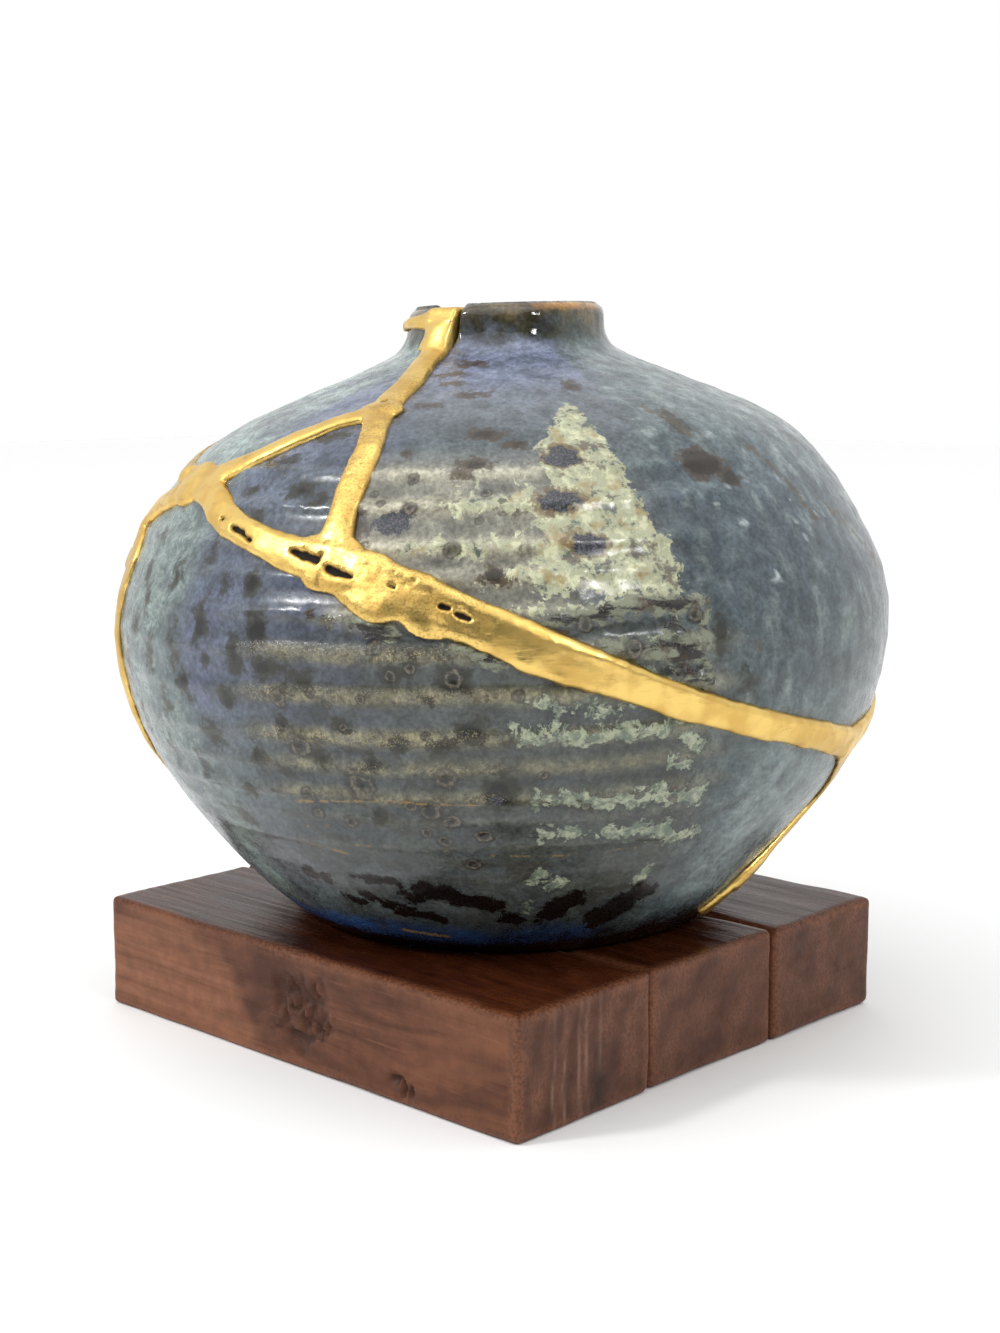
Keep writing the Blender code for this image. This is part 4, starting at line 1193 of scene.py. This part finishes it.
def walnut(name, turn, spacing):
    n = Nodes(name + "_walnut")
    where = n.coords()
    along = n.coords((0.045, 1.0, 1.0))
    fine = n.noise(along, 0.8, 4, 0.65)
    grain = n.noise(along, 2.6, 5, 0.6, 0.5)
    figure = n.noise(n.coords((0.3, 1.0, 1.0)), 11.0, 4, 0.55, 1.2)
    pores = n.noise(where, 0.7, 3, 0.6)
    n.colour = n.mix(srgb(72, 39, 24), srgb(110, 67, 44), n.step(figure, 0.3, 0.7))
    n.over(srgb(50, 25, 14), n.step(grain, 0.5, 0.75, 0.0, 0.6))
    n.over(srgb(140, 92, 66), n.step(fine, 0.56, 0.74, 0.0, 0.35))

    # The end grain: bent growth planes, with pores and pale lines
    planes = n.add("ShaderNodeSeparateXYZ")
    n.set(planes.inputs[0], n.coords(turn=(turn, 0.0, 0.0)))
    bend = n.step(n.noise(where, 22.0, 2, 0.4), 0.2, 0.8, -0.5 * spacing, 0.5 * spacing)
    phase = n.times(n.plus(planes.outputs[1], bend), 2 * math.pi / spacing)
    stripe = n.times(n.plus(n.math("SINE", phase), 1.0), 0.28)
    stripe = n.plus(stripe, n.step(n.noise(where, 10.0, 3, 0.5), 0.3, 0.7, -0.15, 0.6), clamp=True)
    end_colour = n.mix(srgb(70, 38, 24), srgb(110, 70, 50), stripe)
    end_colour = n.mix(end_colour, srgb(74, 46, 34), n.step(pores, 0.35, 0.6, 0.7, 0.1))
    end_colour = n.mix(end_colour, srgb(150, 120, 102), n.times(n.attribute("lines"), 0.62))
    n.over(end_colour, n.attribute("end"))
    n.over(srgb(30, 20, 18), n.attribute("knot"), 0.85)

    arc = n.times(n.attribute("arc"), n.step(grain, 0.3, 0.7, 0.8, 0.35))
    n.over(srgb(146, 96, 68), arc, 0.8)
    n.over(srgb(44, 23, 14), n.attribute("burr"), 0.8)
    n.shade(n.step(n.noise(where, 4.0, 5, 0.65), 0.3, 0.7, 0.84, 1.16))
    top = n.attribute("top")
    n.colour = n.mix(n.colour, (0.46, 0.33, 0.24), top, "MULTIPLY")
    n.over(srgb(132, 84, 58), n.attribute("edge"), n.step(pores, 0.35, 0.65, 0.15, 0.6))

    rough = n.math("SUBTRACT", n.step(grain, 0.3, 0.7, 0.44, 0.6), n.times(top, 0.26))
    normal = n.bump(pores, 0.08, 0.5, n.bump(fine, 0.16, 0.7))
    return n.finish(rough, normal, Specular_IOR_Level=n.step(top, 0.0, 1.0, 0.25, 0.12))


# Stage

def area_light(name, spot, target, size, power, tall=None):
    light = bpy.data.lights.new(name, "AREA")
    light.energy = power
    light.size = size
    if tall is not None:
        light.shape = "RECTANGLE"
        light.size_y = tall
    obj = place(name, light)
    obj.location = spot
    obj.rotation_euler = (Vector(target) - Vector(spot)).to_track_quat("-Z", "Y").to_euler()


def studio_world():
    """White all round, but for a dim part behind the camera, which the gold and the glaze reflect."""
    world = bpy.data.worlds.new("studio")
    world.use_nodes = True
    tree = world.node_tree
    way = Vector(CAMERA_PLACE) - Vector((0.0, 0.0, 0.06))
    dot = tree.nodes.new("ShaderNodeVectorMath")
    dot.operation = "DOT_PRODUCT"
    dot.inputs[1].default_value = way.normalized()
    tree.links.new(tree.nodes.new("ShaderNodeTexCoord").outputs["Generated"], dot.inputs[0])
    fade = tree.nodes.new("ShaderNodeMapRange")
    fade.interpolation_type = "SMOOTHSTEP"
    for socket, number in zip(list(fade.inputs)[1:5], (0.22, 0.88, 1.0, 0.06)):
        socket.default_value = number
    tree.links.new(dot.outputs["Value"], fade.inputs[0])
    tree.links.new(fade.outputs[0], tree.nodes["Background"].inputs["Strength"])
    tree.nodes["Background"].inputs["Color"].default_value = (1.0, 1.0, 1.0, 1.0)
    return world


def make_stage():
    reach = 3.0
    corners = [(-reach, -reach, 0), (reach, -reach, 0), (reach, reach, 0), (-reach, reach, 0)]
    floor = mesh_object("floor", corners, [(0, 1, 2, 3)])
    n = Nodes("pale_floor")
    n.colour = (0.9, 0.9, 0.9)
    floor.data.materials.append(n.finish(0.8))
    camera = place("camera", bpy.data.cameras.new("camera"))
    camera.location = CAMERA_PLACE
    camera.rotation_euler = [math.radians(a) for a in CAMERA_TURN]
    camera.data.lens = CAMERA_LENS
    camera.data.sensor_width = 36.0
    bpy.context.scene.camera = camera
    bpy.context.scene.world = studio_world()
    middle = (0, 0, 0.09)
    area_light("left_window", (-0.42, -0.95, 0.85), middle, 0.16, 6.0)
    area_light("right_window", (1.05, -0.22, 0.80), middle, 0.13, 4.0, tall=0.26)
    sun = place("soft_sun", bpy.data.lights.new("soft_sun", "SUN"))
    sun.data.energy = 1.1
    sun.data.angle = math.radians(70)
    sun.rotation_euler = (math.radians(24), math.radians(10), 0)
    bpy.context.scene.view_settings.view_transform = "Standard"


# The voxel of each shard's remesh, in mm
VOXELS = {
    "main_shoulder_shard": 1.0, "left_shoulder_shard": 0.55, "triangle_shard": 0.4,
    "front_bowl_shard": 0.75, "back_bowl_shard": 1.3,
}

make_stage()
glaze = glaze_material()
for shard, voxel in VOXELS.items():
    dress_shard(shard, voxel, glaze)
make_gold()
for board_node in BOARDS:
    board(board_node)
